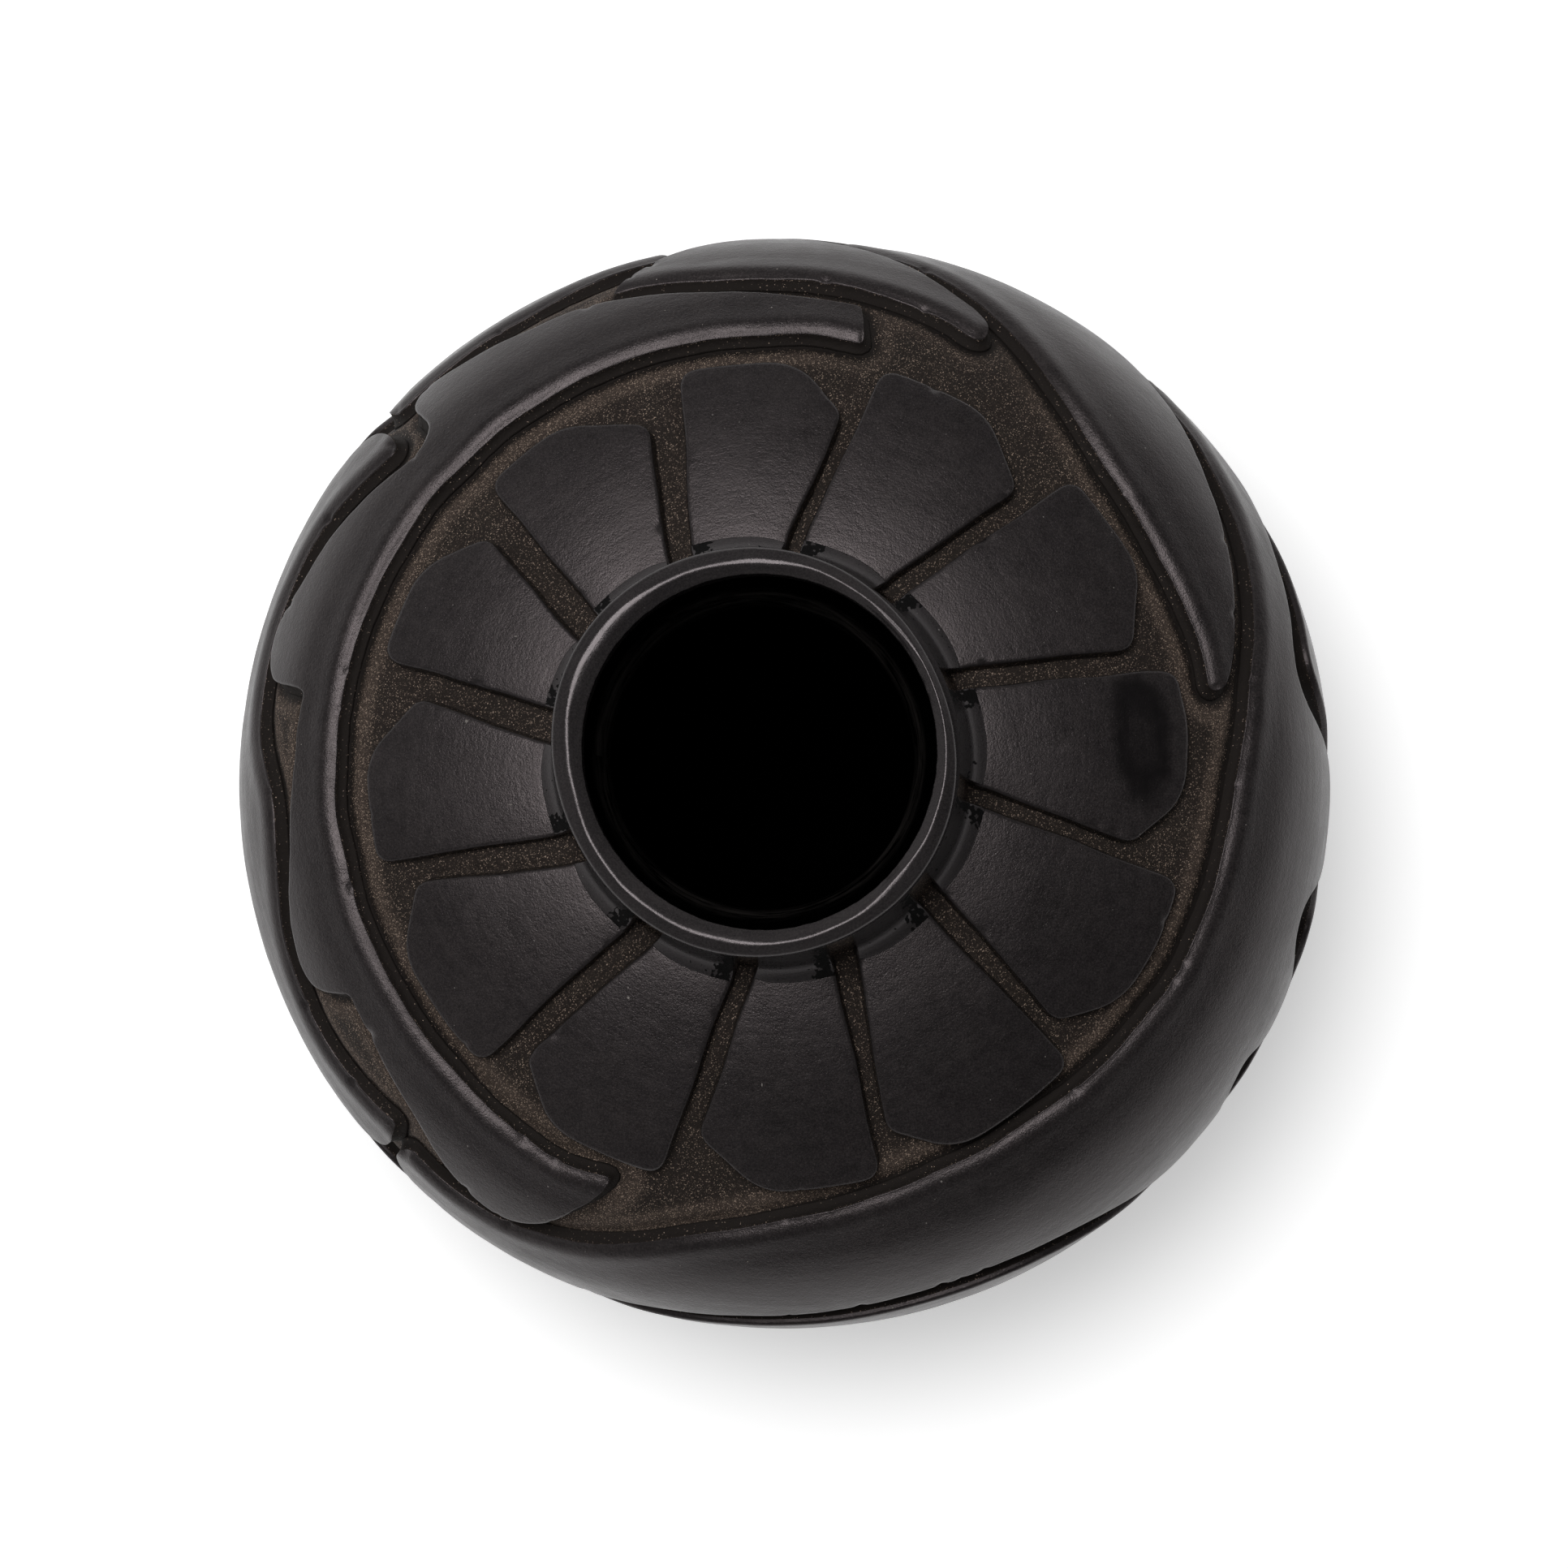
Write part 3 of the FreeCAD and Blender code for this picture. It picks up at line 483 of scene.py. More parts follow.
class Nodes:
    """Short calls for building the node tree of a material or of the world."""

    def __init__(self, owner, output, shader):
        owner.use_nodes = True
        self.owner = owner
        self.tree = owner.node_tree
        self.tree.nodes.clear()
        self.shader = self.add(shader)
        self.link(self.shader.outputs[0], self.add(output).inputs["Surface"])

    def add(self, kind, **settings):
        node = self.tree.nodes.new(kind)
        for key, value in settings.items():
            setattr(node, key, value)
        return node

    def link(self, source, target):
        self.tree.links.new(source, target)

    def feed(self, socket, value):
        """Gives an input a plain value, or joins it to the output of another node."""
        if isinstance(value, bpy.types.NodeSocket):
            self.link(value, socket)
        else:
            socket.default_value = value

    def set(self, node, **values):
        for key, value in values.items():
            self.feed(node.inputs[key.replace("_", " ")], value)

    def math(self, operation, first, second=0.0, clamp=False):
        node = self.add("ShaderNodeMath", operation=operation, use_clamp=clamp)
        self.feed(node.inputs[0], first)
        self.feed(node.inputs[1], second)
        return node.outputs[0]

    def total(self, *terms):
        """Sum of terms: each a number, an output, or an output with its weight."""
        result = None
        for term in terms:
            value = self.math("MULTIPLY", *term) if isinstance(term, tuple) else term
            result = value if result is None else self.math("ADD", result, value)
        return result

    def position(self):
        return self.add("ShaderNodeTexCoord").outputs["Object"]

    def axes(self, vector):
        node = self.add("ShaderNodeSeparateXYZ")
        self.link(vector, node.inputs[0])
        return node.outputs

    def round_position(self, turn_scale, across_scale):
        """Position as (azimuth, distance from the axis, height), so that streaks run round."""
        x, y, z = self.axes(self.position())
        azimuth = self.math("MULTIPLY", self.math("ARCTAN2", y, x), turn_scale)
        squares = self.total((x, x), (y, y))
        across = self.math("MULTIPLY", self.math("SQRT", squares), across_scale)
        height = self.math("MULTIPLY", z, across_scale)
        joined = self.add("ShaderNodeCombineXYZ")
        for socket, value in zip(joined.inputs, (azimuth, across, height)):
            self.link(value, socket)
        return joined.outputs[0]

    def stretched(self, turn, shares):
        """Position turned by angles in radians, then scaled along each axis."""
        node = self.add("ShaderNodeMapping")
        self.set(node, Vector=self.position(), Rotation=turn, Scale=shares)
        return node.outputs[0]

    def noise(self, vector, scale, detail=3.0, roughness=0.5):
        node = self.add("ShaderNodeTexNoise")
        self.set(node, Vector=vector, Scale=scale, Detail=detail, Roughness=roughness)
        return node.outputs["Fac"]

    def ramp(self, value, *stops):
        """Maps a value to a grey or colour by (position, colour) stops."""
        node = self.add("ShaderNodeValToRGB")
        self.link(value, node.inputs[0])
        elements = node.color_ramp.elements
        while len(elements) < len(stops):
            elements.new(0.5)
        for element, (position, colour) in zip(elements, stops):
            element.position = position
            grey = isinstance(colour, (int, float))
            element.color = (colour, colour, colour, 1) if grey else (*colour, 1)
        return node.outputs["Color"]

    def mix(self, share, first, second):
        node = self.add("ShaderNodeMix", data_type="RGBA")
        self.feed(node.inputs["Factor"], share)
        for socket, colour in ((node.inputs[6], first), (node.inputs[7], second)):
            self.feed(socket, (*colour, 1) if isinstance(colour, tuple) else colour)
        return node.outputs[2]

    def bump(self, height, strength, distance, normal=None):
        node = self.add("ShaderNodeBump")
        self.set(node, Height=height, Strength=strength, Distance=distance)
        if normal is not None:
            self.link(normal, node.inputs["Normal"])
        return node.outputs[0]

    def vertex_value(self, name):
        return self.add("ShaderNodeAttribute", attribute_name=name).outputs["Fac"]

    def cells(self, vector, scale):
        """Distance from the middles of scattered cells, and two random numbers for each cell."""
        node = self.add("ShaderNodeTexVoronoi", feature="F1")
        self.set(node, Vector=vector, Scale=scale)
        parts = self.add("ShaderNodeSeparateColor")
        self.link(node.outputs["Color"], parts.inputs[0])
        return node.outputs["Distance"], parts.outputs[0], parts.outputs[1]

    def specks(self, vector, scale, radius, share):
        """A mask of small specks of varied strength, in a share of the cells of that scale."""
        distance, chance, strength = self.cells(vector, scale)
        small = self.math("LESS_THAN", distance, radius)
        chosen = self.math("MULTIPLY", small, self.math("LESS_THAN", chance, share))
        return self.math("MULTIPLY", chosen, self.math("ADD", strength, 0.25))


def material_nodes(name):
    return Nodes(bpy.data.materials.new(name), "ShaderNodeOutputMaterial",
                 "ShaderNodeBsdfPrincipled")


GRAIN_SCALE = 3800.0
DUST = ((520.0, 0.045, 0.30), (210.0, 0.030, 0.45))
COARSE_DUST = (95.0, 0.022, 0.55)


def burnished_material():
    """Stone-burnished black clay: satin, with rubbing streaks, clouds, grain, dust and lint."""
    m = material_nodes("burnished_clay")
    spot = m.position()
    clouds = m.noise(spot, 45.0, 4.0, 0.55)
    grain = m.noise(spot, GRAIN_SCALE, 2.0, 0.7)
    mottle = m.noise(spot, 420.0, 4.0, 0.7)
    streaks = m.noise(m.round_position(6.0, 900.0), 1.0, 4.0, 0.6)
    patches = m.noise(spot, 70.0, 3.0, 0.5)
    fine = m.noise(spot, 1500.0, 3.0, 0.65)
    stain = m.vertex_value("stain")
    shade = m.total((clouds, 0.55), (mottle, 0.55), (grain, 1.5), -0.80)
    colour = m.ramp(shade, (0.15, (0.0030, 0.0027, 0.0028)), (0.5, (0.0094, 0.0082, 0.0084)),
                    (0.9, (0.0215, 0.0185, 0.0180)))
    colour = m.mix(stain, colour, (0.0012, 0.0012, 0.0014))
    lint = m.stretched((0.4, 0.9, 0.3), (1.0, 0.14, 1.0))
    more_lint = m.stretched((1.3, 0.2, 1.9), (0.16, 1.0, 1.0))
    dusty = m.total(*(m.specks(spot, *row) for row in (*DUST, COARSE_DUST)),
                    m.specks(lint, 260.0, 0.022, 0.16), m.specks(more_lint, 240.0, 0.020, 0.14))
    faint = m.math("MULTIPLY", dusty, 0.70, clamp=True)
    rough = m.total((streaks, 0.22), (patches, 0.20), (mottle, 0.16), (grain, 0.16),
                    (dusty, 0.3), (stain, -0.15), -0.01)
    normal = m.bump(streaks, 0.25, 0.00014)
    normal = m.bump(mottle, 0.20, 0.00014, normal)
    normal = m.bump(fine, 0.6, 0.00008, normal)
    m.set(m.shader, Base_Color=m.mix(faint, colour, (0.20, 0.185, 0.17)), Roughness=rough,
          Normal=m.bump(grain, 0.8, 0.00006, normal), Specular_IOR_Level=0.38,
          Specular_Tint=(1.0, 0.87, 0.88, 1))
    return m.owner


def ground_material():
    """The carved background: matte grit, with pale mica flecks painted brighter as glints, and
    painted light and shade beside the carving's walls.
    """
    m = material_nodes("gritty_ground")
    spot = m.position()
    painted_light_shade = m.vertex_value("channel")
    tone = m.noise(spot, 260.0, 4.0, 0.65)
    sand = m.noise(spot, 5200.0, 2.0, 0.75)
    patches = m.noise(spot, 95.0, 3.0, 0.6)
    grit = m.noise(spot, 2300.0, 4.0, 0.7)
    lumps = m.noise(spot, 620.0, 3.0, 0.6)
    # The channel value is painted light and shade, here added to random patches.
    lift = m.total((painted_light_shade, 0.34), (patches, 0.30))
    shade = m.total((tone, 0.45), (sand, 0.9), lift, -0.60)
    colour = m.ramp(shade, (0.0, (0.0024, 0.0019, 0.0016)), (0.35, (0.0088, 0.0064, 0.0051)),
                    (0.8, (0.0370, 0.0270, 0.0215)))
    # Pale mica flecks painted brighter as glints, more of them where the painted light falls.
    _, chance, strength = m.cells(spot, 8000.0)
    limit = m.math("SUBTRACT", 0.92, m.math("MULTIPLY", lift, 0.42))
    bright = m.total((m.math("POWER", strength, 3.0), 0.68), 0.05)
    painted_glint = m.math("MULTIPLY", m.math("GREATER_THAN", chance, limit), bright)
    rough = m.math("SUBTRACT", 0.80, m.math("MULTIPLY", painted_glint, 0.35))
    normal = m.bump(grit, 0.6, 0.00012, m.bump(lumps, 0.6, 0.0003))
    m.set(m.shader, Base_Color=m.mix(painted_glint, colour, (0.36, 0.27, 0.21)), Roughness=rough,
          Normal=normal, Specular_IOR_Level=0.3, Specular_Tint=(1.0, 0.86, 0.80, 1))
    return m.owner


def neck_material():
    """The neck and lip: the highest burnish, with faint lines that run round the pot."""
    m = material_nodes("polished_neck")
    spot = m.position()
    lines = m.noise(m.round_position(1.2, 1400.0), 1.0, 4.0, 0.6)
    clouds = m.noise(spot, 70.0, 3.0, 0.5)
    grain = m.noise(spot, GRAIN_SCALE, 2.0, 0.7)
    shade = m.total((clouds, 0.4), (lines, 0.35), (grain, 1.0), -0.35)
    colour = m.ramp(shade, (0.2, (0.0050, 0.0045, 0.0047)), (0.5, (0.0135, 0.0120, 0.0123)),
                    (0.85, (0.0270, 0.0240, 0.0238)))
    dusty = m.total(*(m.specks(spot, *row) for row in DUST))
    faint = m.math("MULTIPLY", dusty, 0.6, clamp=True)
    rough = m.total((lines, 0.16), (clouds, 0.14), (grain, 0.12), 0.08)
    normal = m.bump(grain, 0.6, 0.00004, m.bump(lines, 0.30, 0.00004))
    m.set(m.shader, Base_Color=m.mix(faint, colour, (0.20, 0.19, 0.18)), Roughness=rough,
          Normal=normal, Specular_IOR_Level=0.42, Specular_Tint=(1.0, 0.90, 0.92, 1))
    return m.owner


def nook_material():
    """Black, dull and scratched clay in the corner beside each groove on the neck."""
    m = material_nodes("black_nook")
    scratches = m.noise(m.round_position(30.0, 500.0), 1.0, 4.0, 0.7)
    grain = m.noise(m.position(), GRAIN_SCALE, 3.0, 0.7)
    shade = m.total((scratches, 0.8), (grain, 0.8), -0.4)
    colour = m.ramp(shade, (0.2, (0.0006, 0.0005, 0.0005)), (0.55, (0.0022, 0.0019, 0.0019)),
                    (0.85, (0.0120, 0.0105, 0.0100)))
    m.set(m.shader, Base_Color=colour, Roughness=m.total((grain, 0.3), 0.5),
          Normal=m.bump(grain, 0.8, 0.0001), Specular_IOR_Level=0.10)
    return m.owner


def inside_material():
    """The inside: smoke-blackened, unburnished clay, made near black and without shine as painted
    shade, with paler lines round the throat.
    """
    m = material_nodes("smoked_shaded_inside")
    height = m.axes(m.position())[2]
    throat = m.ramp(m.math("MULTIPLY", height, 10.0), (0.915, 0.0), (0.945, 1.0), (0.965, 1.0),
                    (0.985, 0.0))
    lines = m.noise(m.round_position(2.2, 900.0), 1.0, 5.0, 0.7)
    throat_lines = m.math("MULTIPLY", m.ramp(lines, (0.42, 0.0), (0.72, 1.0)), throat)
    # Near-black painted shade, with the paler lines round the throat.
    colour = m.mix(throat_lines, (0.0002, 0.0002, 0.0002), (0.0190, 0.0170, 0.0160))
    m.set(m.shader, Base_Color=colour, Roughness=m.total((lines, 0.3), 0.6),
          Normal=m.bump(lines, 0.5, 0.0002), Specular_IOR_Level=0.0)
    return m.owner


# -------- turned pieces

def lofted(name, points, material, poles=()):
    """A mesh from points[turn, row]: closed along the rows, or capped at a pole at each end."""
    count, rows = points.shape[:2]
    index = np.arange(count * rows).reshape(count, rows)
    following = np.roll(index, -1, axis=0)
    last = rows - 1 if poles else rows
    after = np.roll(index, -1, axis=1)
    after_following = np.roll(following, -1, axis=1)
    quads = np.stack([index, following, after_following, after], axis=-1)[:, :last]
    faces = quads.reshape(-1, 4).tolist()
    spots = points.reshape(-1, 3)
    for number, (row, pole) in enumerate(zip((0, rows - 1), poles)):
        centre = len(spots)
        spots = np.vstack([spots, [pole]])
        fan = [(centre, b, a) for a, b in zip(index[:, row].tolist(), following[:, row].tolist())]
        faces += [f[::-1] for f in fan] if number else fan
    flat = quads.reshape(-1, 4)
    a, b, c = (spots[flat[:, i]] for i in (0, 1, 2))
    if np.sum(a * np.cross(b, c)) < 0:
        faces = [f[::-1] for f in faces]
    return new_piece(name, spots, faces, material)


def arc_rows(centre, radius, first, last, count):
    """Rows along an arc, by angle in degrees anticlockwise from outward."""
    angles = np.radians(np.linspace(first, last, count))
    return [(centre[0] + radius * math.cos(a), centre[1] + radius * math.sin(a)) for a in angles]


def divided(rows, longest):
    """The rows with more put in, so that no two neighbours are further apart than longest."""
    result = [rows[0]]
    for a, b in zip(rows, rows[1:]):
        parts = max(1, math.ceil(math.dist(a, b) / longest))
        result += [[p + (q - p) * k / parts for p, q in zip(a, b)] for k in range(1, parts + 1)]
    return np.array(result)


def round_axis(turns, radius, height):
    """Points[turn, row] from arrays of radius and height for each turn and row."""
    turns = np.asarray(turns)[:, None]
    return np.stack(np.broadcast_arrays(radius * np.cos(turns), radius * np.sin(turns), height),
                    axis=-1)


def waves(turns, rows):
    """Sum of (number round the pot, size, azimuth of the greatest in degrees) waves."""
    return sum(size * np.cos(number * (turns - math.radians(phase)))
               for number, size, phase in rows)


# -------- the scene

def make_camera():
    """The camera looks down into the mouth from a little to the front and right."""
    target = Vector((0.0, 0.0, 0.050))
    spot = Vector((0.0462, -0.0523, 0.7465))
    forward = (target - spot).normalized()
    right = forward.cross(Vector((0, 1, 0))).normalized()
    up = right.cross(forward)
    turn = Matrix((right, up, -forward)).transposed()
    data = bpy.data.cameras.new("camera")
    data.lens = 109.66
    data.sensor_width = 36.0
    data.shift_x = 0.00104
    data.shift_y = -0.0022
    data.clip_start = 0.01
    camera = bpy.data.objects.new("camera", data)
    camera.matrix_world = Matrix.Translation(spot) @ turn.to_4x4()
    bpy.context.scene.collection.objects.link(camera)
    bpy.context.scene.camera = camera


def make_light():
    """One round softbox overhead, a little behind the pot and to its left."""
    size = 0.65
    radiance = 10.8
    data = bpy.data.lights.new("softbox", "AREA")
    data.shape = "DISK"
    data.size = size
    data.energy = radiance * math.pi * math.pi * (size / 2) ** 2
    lamp = bpy.data.objects.new("softbox", data)
    lamp.location = (-0.17, 0.21, 1.25)
    bpy.context.scene.collection.objects.link(lamp)


# Brightness of the room by the sine of the height above the horizon.
ROOM_LEVELS = ((0.03, 0.86), (0.13, 0.46), (0.26, 0.25), (0.57, 0.19), (0.8, 0.20))
BRIGHTER_SIDE = 0.48


def make_world():
    """A pale room: white at the horizon and dimmer above, and white behind the object."""
    world = bpy.data.worlds.new("room")
    bpy.context.scene.world = world
    m = Nodes(world, "ShaderNodeOutputWorld", "ShaderNodeBackground")
    direction = m.add("ShaderNodeTexCoord").outputs["Generated"]
    slope = m.add("ShaderNodeVectorMath", operation="DOT_PRODUCT")
    m.link(direction, slope.inputs[0])
    slope.inputs[1].default_value = (-0.82 * BRIGHTER_SIDE, 0.57 * BRIGHTER_SIDE, 0.0)
    sided = m.add("ShaderNodeVectorMath", operation="SCALE")
    m.link(m.ramp(m.axes(direction)[2], *ROOM_LEVELS), sided.inputs[0])
    m.link(m.math("ADD", slope.outputs["Value"], 1.0), sided.inputs["Scale"])
    seen = m.add("ShaderNodeLightPath").outputs["Is Camera Ray"]
    m.set(m.shader, Color=m.mix(seen, sided.outputs[0], (1.0, 1.0, 1.0)))


FLOOR_GLOW = 0.44


def make_floor():
    """A plain pale floor, which shows white to the camera and keeps the pot's shadow."""
    size = 4.0
    mesh = bpy.data.meshes.new("floor")
    corners = [(-size, -size, 0), (size, -size, 0), (size, size, 0), (-size, size, 0)]
    mesh.from_pydata(corners, [], [(0, 1, 2, 3)])
    floor = bpy.data.objects.new("floor", mesh)
    bpy.context.scene.collection.objects.link(floor)
    m = material_nodes("pale_floor")
    path = m.add("ShaderNodeLightPath").outputs
    seen = m.math("MAXIMUM", path["Is Camera Ray"], path["Is Glossy Ray"])
    seen = m.math("MAXIMUM", seen, path["Is Transmission Ray"])
    m.set(m.shader, Base_Color=(0.9, 0.9, 0.9, 1), Roughness=0.9, Specular_IOR_Level=0.1,
          Emission_Color=(1, 1, 1, 1), Emission_Strength=m.math("MULTIPLY", seen, FLOOR_GLOW))
    mesh.materials.append(m.owner)


FEATHER_COUNT = 12
BANDS = ("crest_band", "leaf_band", "side_band", "finger_band", "crescent_band", "wave_band")
# A dark, over-rubbed oval: the piece, azimuth and half width, and reach and half height.
STAINED = ("feather_panel_04", math.radians(3.5), math.radians(10.5), 23.0 * MM, 4.4 * MM)


def longest_loop(node):
    return max(top_loops(node), key=len)


def make_raised(material, gritty):
    """Every feather panel and carved band; returns their outlines, for the background."""
    lines = []
    names = [(f"feather_panel_{n:02d}", FEATHER) for n in range(1, FEATHER_COUNT + 1)]
    names += [(name, BAND) for name in BANDS]
    for number, (node, style) in enumerate(names):
        line = longest_loop(node)
        if style is FEATHER:
            line = extend_root(line)
        piece, edge = raised_piece(f"carved_{node}", line, style, SEED + number, material,
                                   gritty)
        if node == STAINED[0]:
            point_values(piece, "stain", stain_values(piece))
        finish_piece(piece, "burnished_clay", node)
        lines.append(edge)
    return lines


def stain_values(piece):
    """How dark the oval is at each vertex: darkest in a ring, with a paler middle."""
    points = np.array([v.co for v in piece.data.vertices])
    azimuth, reach, _ = locate(points)
    _, middle, half_width, reach_middle, half_height = STAINED
    away = np.hypot((azimuth - middle) / half_width, (reach - reach_middle) / half_height)
    away += roughness(points, (0.16, 3.0, SEED + 97), (0.12, 1.2, SEED + 98))
    return (1 - smooth_step(0.70, 1.20, away)) * (0.6 + 0.4 * smooth_step(0.3, 0.7, away))


def extend_root(line):
    """The feather's inner end carried on under the neck, so that no gap shows at the crease."""
    line = line.copy()
    line[line[:, 1] < 0.4 * MM, 1] = -1.2 * MM
    return line


FOOT_HOLLOW = 0.9 * MM
SKIRT_EDGE = 0.6 * MM
SKIRT_INSETS = (0.0, 0.03, 0.12, 0.3, 0.5, 0.8, 1.3)


def make_skirt(material, gritty):
    """The burnished lower body, from its carved upper edge down and round under the foot."""
    loops = top_loops("lower_skirt")
    upper = min(loops, key=lambda l: l[:, 1].mean())
    order = np.argsort(upper[:, 0] % (2 * math.pi))
    angle = (upper[:, 0] % (2 * math.pi))[order]
    count = 900
    turns = full_turn(count)
    top = soften(np.interp(turns, angle, upper[order, 1], period=2 * math.pi), 6)
    top = roughness(place(turns, top, 0.0), (0.18 * MM, 14, SEED + 70),
                    (0.06 * MM, 2.2, SEED + 72), start=top)
    bottom = BODY_LENGTH - 2.2 * MM
    back = np.linspace(top.max() + 1 * MM, bottom, 14)
    rows = [(np.full(count, reach), np.full(count, WALL_BOTTOM)) for reach in back]
    rows.reverse()
    for share, flare in reversed(WALL_ROWS):
        level = SKIRT_EDGE + (WALL_BOTTOM - SKIRT_EDGE) * share
        rows.append((top - flare * BAND.slope * MM, np.full(count, level)))
    for inset in SKIRT_INSETS:
        drop = float(round_drop(inset * MM, SKIRT_EDGE))
        rows.append((top + inset * MM, np.full(count, drop)))
    begin = top + SKIRT_INSETS[-1] * MM
    for share in np.linspace(0, 1, 90)[1:]:
        rows.append((begin + (bottom - begin) * share, np.zeros(count)))
    points = []
    for number, (reach_row, depth_row) in enumerate(rows):
        base = place(turns, reach_row, depth_row)
        swell = 0.16 * MM * (0.5 + 0.5 * field(base, 20 * MM, SEED + 71))
        swell += rubbed_unevenness(base, SEED + 23)
        hidden = number < len(back)
        points.append(place(turns, reach_row, depth_row + (0 if hidden else swell)))
    foot = points[-1]
    rows = np.array(foot_rows(np.hypot(foot[:, 0], foot[:, 1]).mean(), foot[:, 2].mean()))
    under = round_axis(turns, rows[:, 0], rows[:, 1])
    points = np.concatenate([np.stack(points, axis=1), under], axis=1)
    piece = lofted("burnished_lower_body", points, material,
                   poles=((0, 0, 2.6 * MM), (0, 0, FOOT_HOLLOW)))
    cut = np.zeros(points.shape[:2], bool)
    cut[:, :len(back) + len(WALL_ROWS) - 1] = True
    # The cut wall at the skirt's top takes the grit, with the bands' painted shade.
    leave_gritty(piece, gritty, np.append(cut.reshape(-1), [True, False]), BAND.cut_tone)
    finish_piece(piece, "burnished_clay", "lower_skirt", "base_pat")
    return np.stack([turns, top], axis=-1)


def foot_rows(radius, height):
    """Rounded edge of the foot, then the slightly hollow underside."""
    shares = np.linspace(0, 1, 9)[1:]
    rows = []
    for t in shares:
        angle = t * math.pi / 2 * 0.9
        rows.append((radius - 3.4 * MM * (1 - math.cos(angle)), height * (1 - math.sin(angle))))
    low = rows[-1][1]
    rows = [(r, z - low * t) for (r, z), t in zip(rows, shares)]
    inner = rows[-1][0]
    for share in (0.97, 0.94, 0.9, 0.85, 0.78, 0.7, 0.6, 0.5, 0.4, 0.3, 0.2, 0.1, 0.05):
        rows.append((inner * share, FOOT_HOLLOW * (1 - share ** 3)))
    return rows


def channel_depth(gap):
    """How much deeper the gouge cut the background beside a band's wall."""
    return 0.50 * MM * np.exp(-((gap - 1.5 * MM) / (1.1 * MM)) ** 2)


def channel_light(gap, azimuth):
    """How light the grit is painted: painted shade in the gouged channel beside a band's wall,
    and painted light on its far slope.
    """
    turned = turned_from(azimuth, math.radians(252))
    width = 1 - 0.7 * np.exp(-(turned / math.radians(30)) ** 2)
    slope = smooth_step(1.9 * MM, 3.0 * MM, gap / width)
    slope *= 1 - smooth_step(3.8 * MM, 6.2 * MM, gap)
    slope *= 1 - 0.6 * np.exp(-(turned_from(azimuth, math.radians(63)) / math.radians(20)) ** 2)
    # Painted shade next to the band's wall.
    dark = 1 - smooth_step(1.2 * MM, 2.4 * MM, gap / width)
    return 1.2 * slope + 0.15 * smooth_step(2.2 * MM, 4.0 * MM, gap) - 1.1 * dark


GROUND_REACH = (-1.5 * MM, 92 * MM)
GROUND_STEP = 0.42 * MM
FLOOR_HEIGHT = 8 * MM
HIDDEN_HEIGHT = 2.5 * MM


def make_ground(feather_lines, band_lines, gritty, smoked_and_shaded):
    """The vessel: its carved background outside, and the wall and floor inside, smoke-blackened
    and in near-black painted shade.
    """
    count = 1300
    turns = full_turn(count)
    reaches = np.arange(*GROUND_REACH, GROUND_STEP)
    grid_turn, grid_reach = (g.ravel() for g in np.meshgrid(turns, reaches, indexing="ij"))
    spots = place(grid_turn, grid_reach, 0.0)
    from_band, from_feather = (
        distances(tree_of(np.vstack([place(l[:, 0], l[:, 1], 0.0) for l in lines])), spots)
        for lines in (band_lines, feather_lines)
    )
    depth = roughness(spots, (0.12 * MM, 7.0, SEED + 80), (0.07 * MM, 1.8, SEED + 81),
                      start=RELIEF)
    depth += channel_depth(from_band)
    depth += 0.12 * MM * np.exp(-((from_feather - 0.7 * MM) / (0.6 * MM)) ** 2)
    carved = place(grid_turn, grid_reach, depth).reshape(count, len(reaches), 3)
    radius, height = section(np.linspace(94 * MM, BODY_LENGTH, 12), RELIEF + 0.1 * MM)
    under = round_axis(turns, np.append(radius, 20 * MM),
                       np.maximum(np.append(height, 0), HIDDEN_HEIGHT))
    floor_reach = np.linspace(BODY_LENGTH - 12 * MM, GROUND_REACH[0], 70)
    radius, height = section(floor_reach, WALL_DEPTH)
    inner = round_axis(turns, np.concatenate([[12 * MM, 24 * MM], radius]),
                       np.maximum(np.concatenate([[0, 0], height]), FLOOR_HEIGHT))
    points = np.concatenate([inner, carved, under], axis=1)
    piece = lofted("carved_background", points, gritty,
                   poles=((0, 0, FLOOR_HEIGHT), (0, 0, HIDDEN_HEIGHT)))
    piece.data.materials.append(smoked_and_shaded)
    rows = points.shape[1]
    inside = inner.shape[1] - 1
    # The inside wall and floor take the near-black painted shade.
    side = np.tile(np.arange(rows - 1) < inside, count).astype(np.int32)
    side = np.concatenate([side, np.ones(count, np.int32), np.zeros(count, np.int32)])
    piece.data.polygons.foreach_set("material_index", side)
    values = np.zeros((count, rows))
    shown = slice(inner.shape[1], inner.shape[1] + len(reaches))
    # The background's painted light and shade, stored as its channel value.
    values[:, shown] = channel_light(from_band, grid_turn).reshape(count, len(reaches))
    point_values(piece, "channel", values.reshape(-1))
    finish_piece(piece, "carved_ground", "shoulder_wall", "belly_wall", "lower_belly_wall",
                 "lower_wall")


# The neck and lip are uneven by hand: rows of waves, in millimetres and degrees.
NECK_WAVES = ((2, 0.50, 134),)
LIP_OUTER = 27.6
LIP_OUTER_WAVES = ((1, 0.33, -141), (2, 0.62, -54), (4, 0.17, -22))
LIP_INNER = 24.05
LIP_INNER_WAVES = ((1, 0.60, -14), (2, 0.19, -49), (3, 0.10, 44))
RIDGE_WAVES = ((1, 0.03, 200), (3, 0.05, 20), (5, 0.04, 80))
NECK_FOOT = 30.75
NECK_WAIST = 27.3
# Neck section: height above its foot in millimetres, and share of the way out to the foot.
NECK_ROWS = np.array([
    (-2.0, 1.50), (0.0, 1.0), (0.9, 0.76), (2.0, 0.55), (3.4, 0.40), (6.0, 0.26), (10.0, 0.13),
    (15.0, 0.03), (18.0, 0.0), (30.0, 0.0),
]).T
NECK_BLUR = (-0.5, -0.25, 0, 0.25, 0.5)
NECK_TOP = 102.3
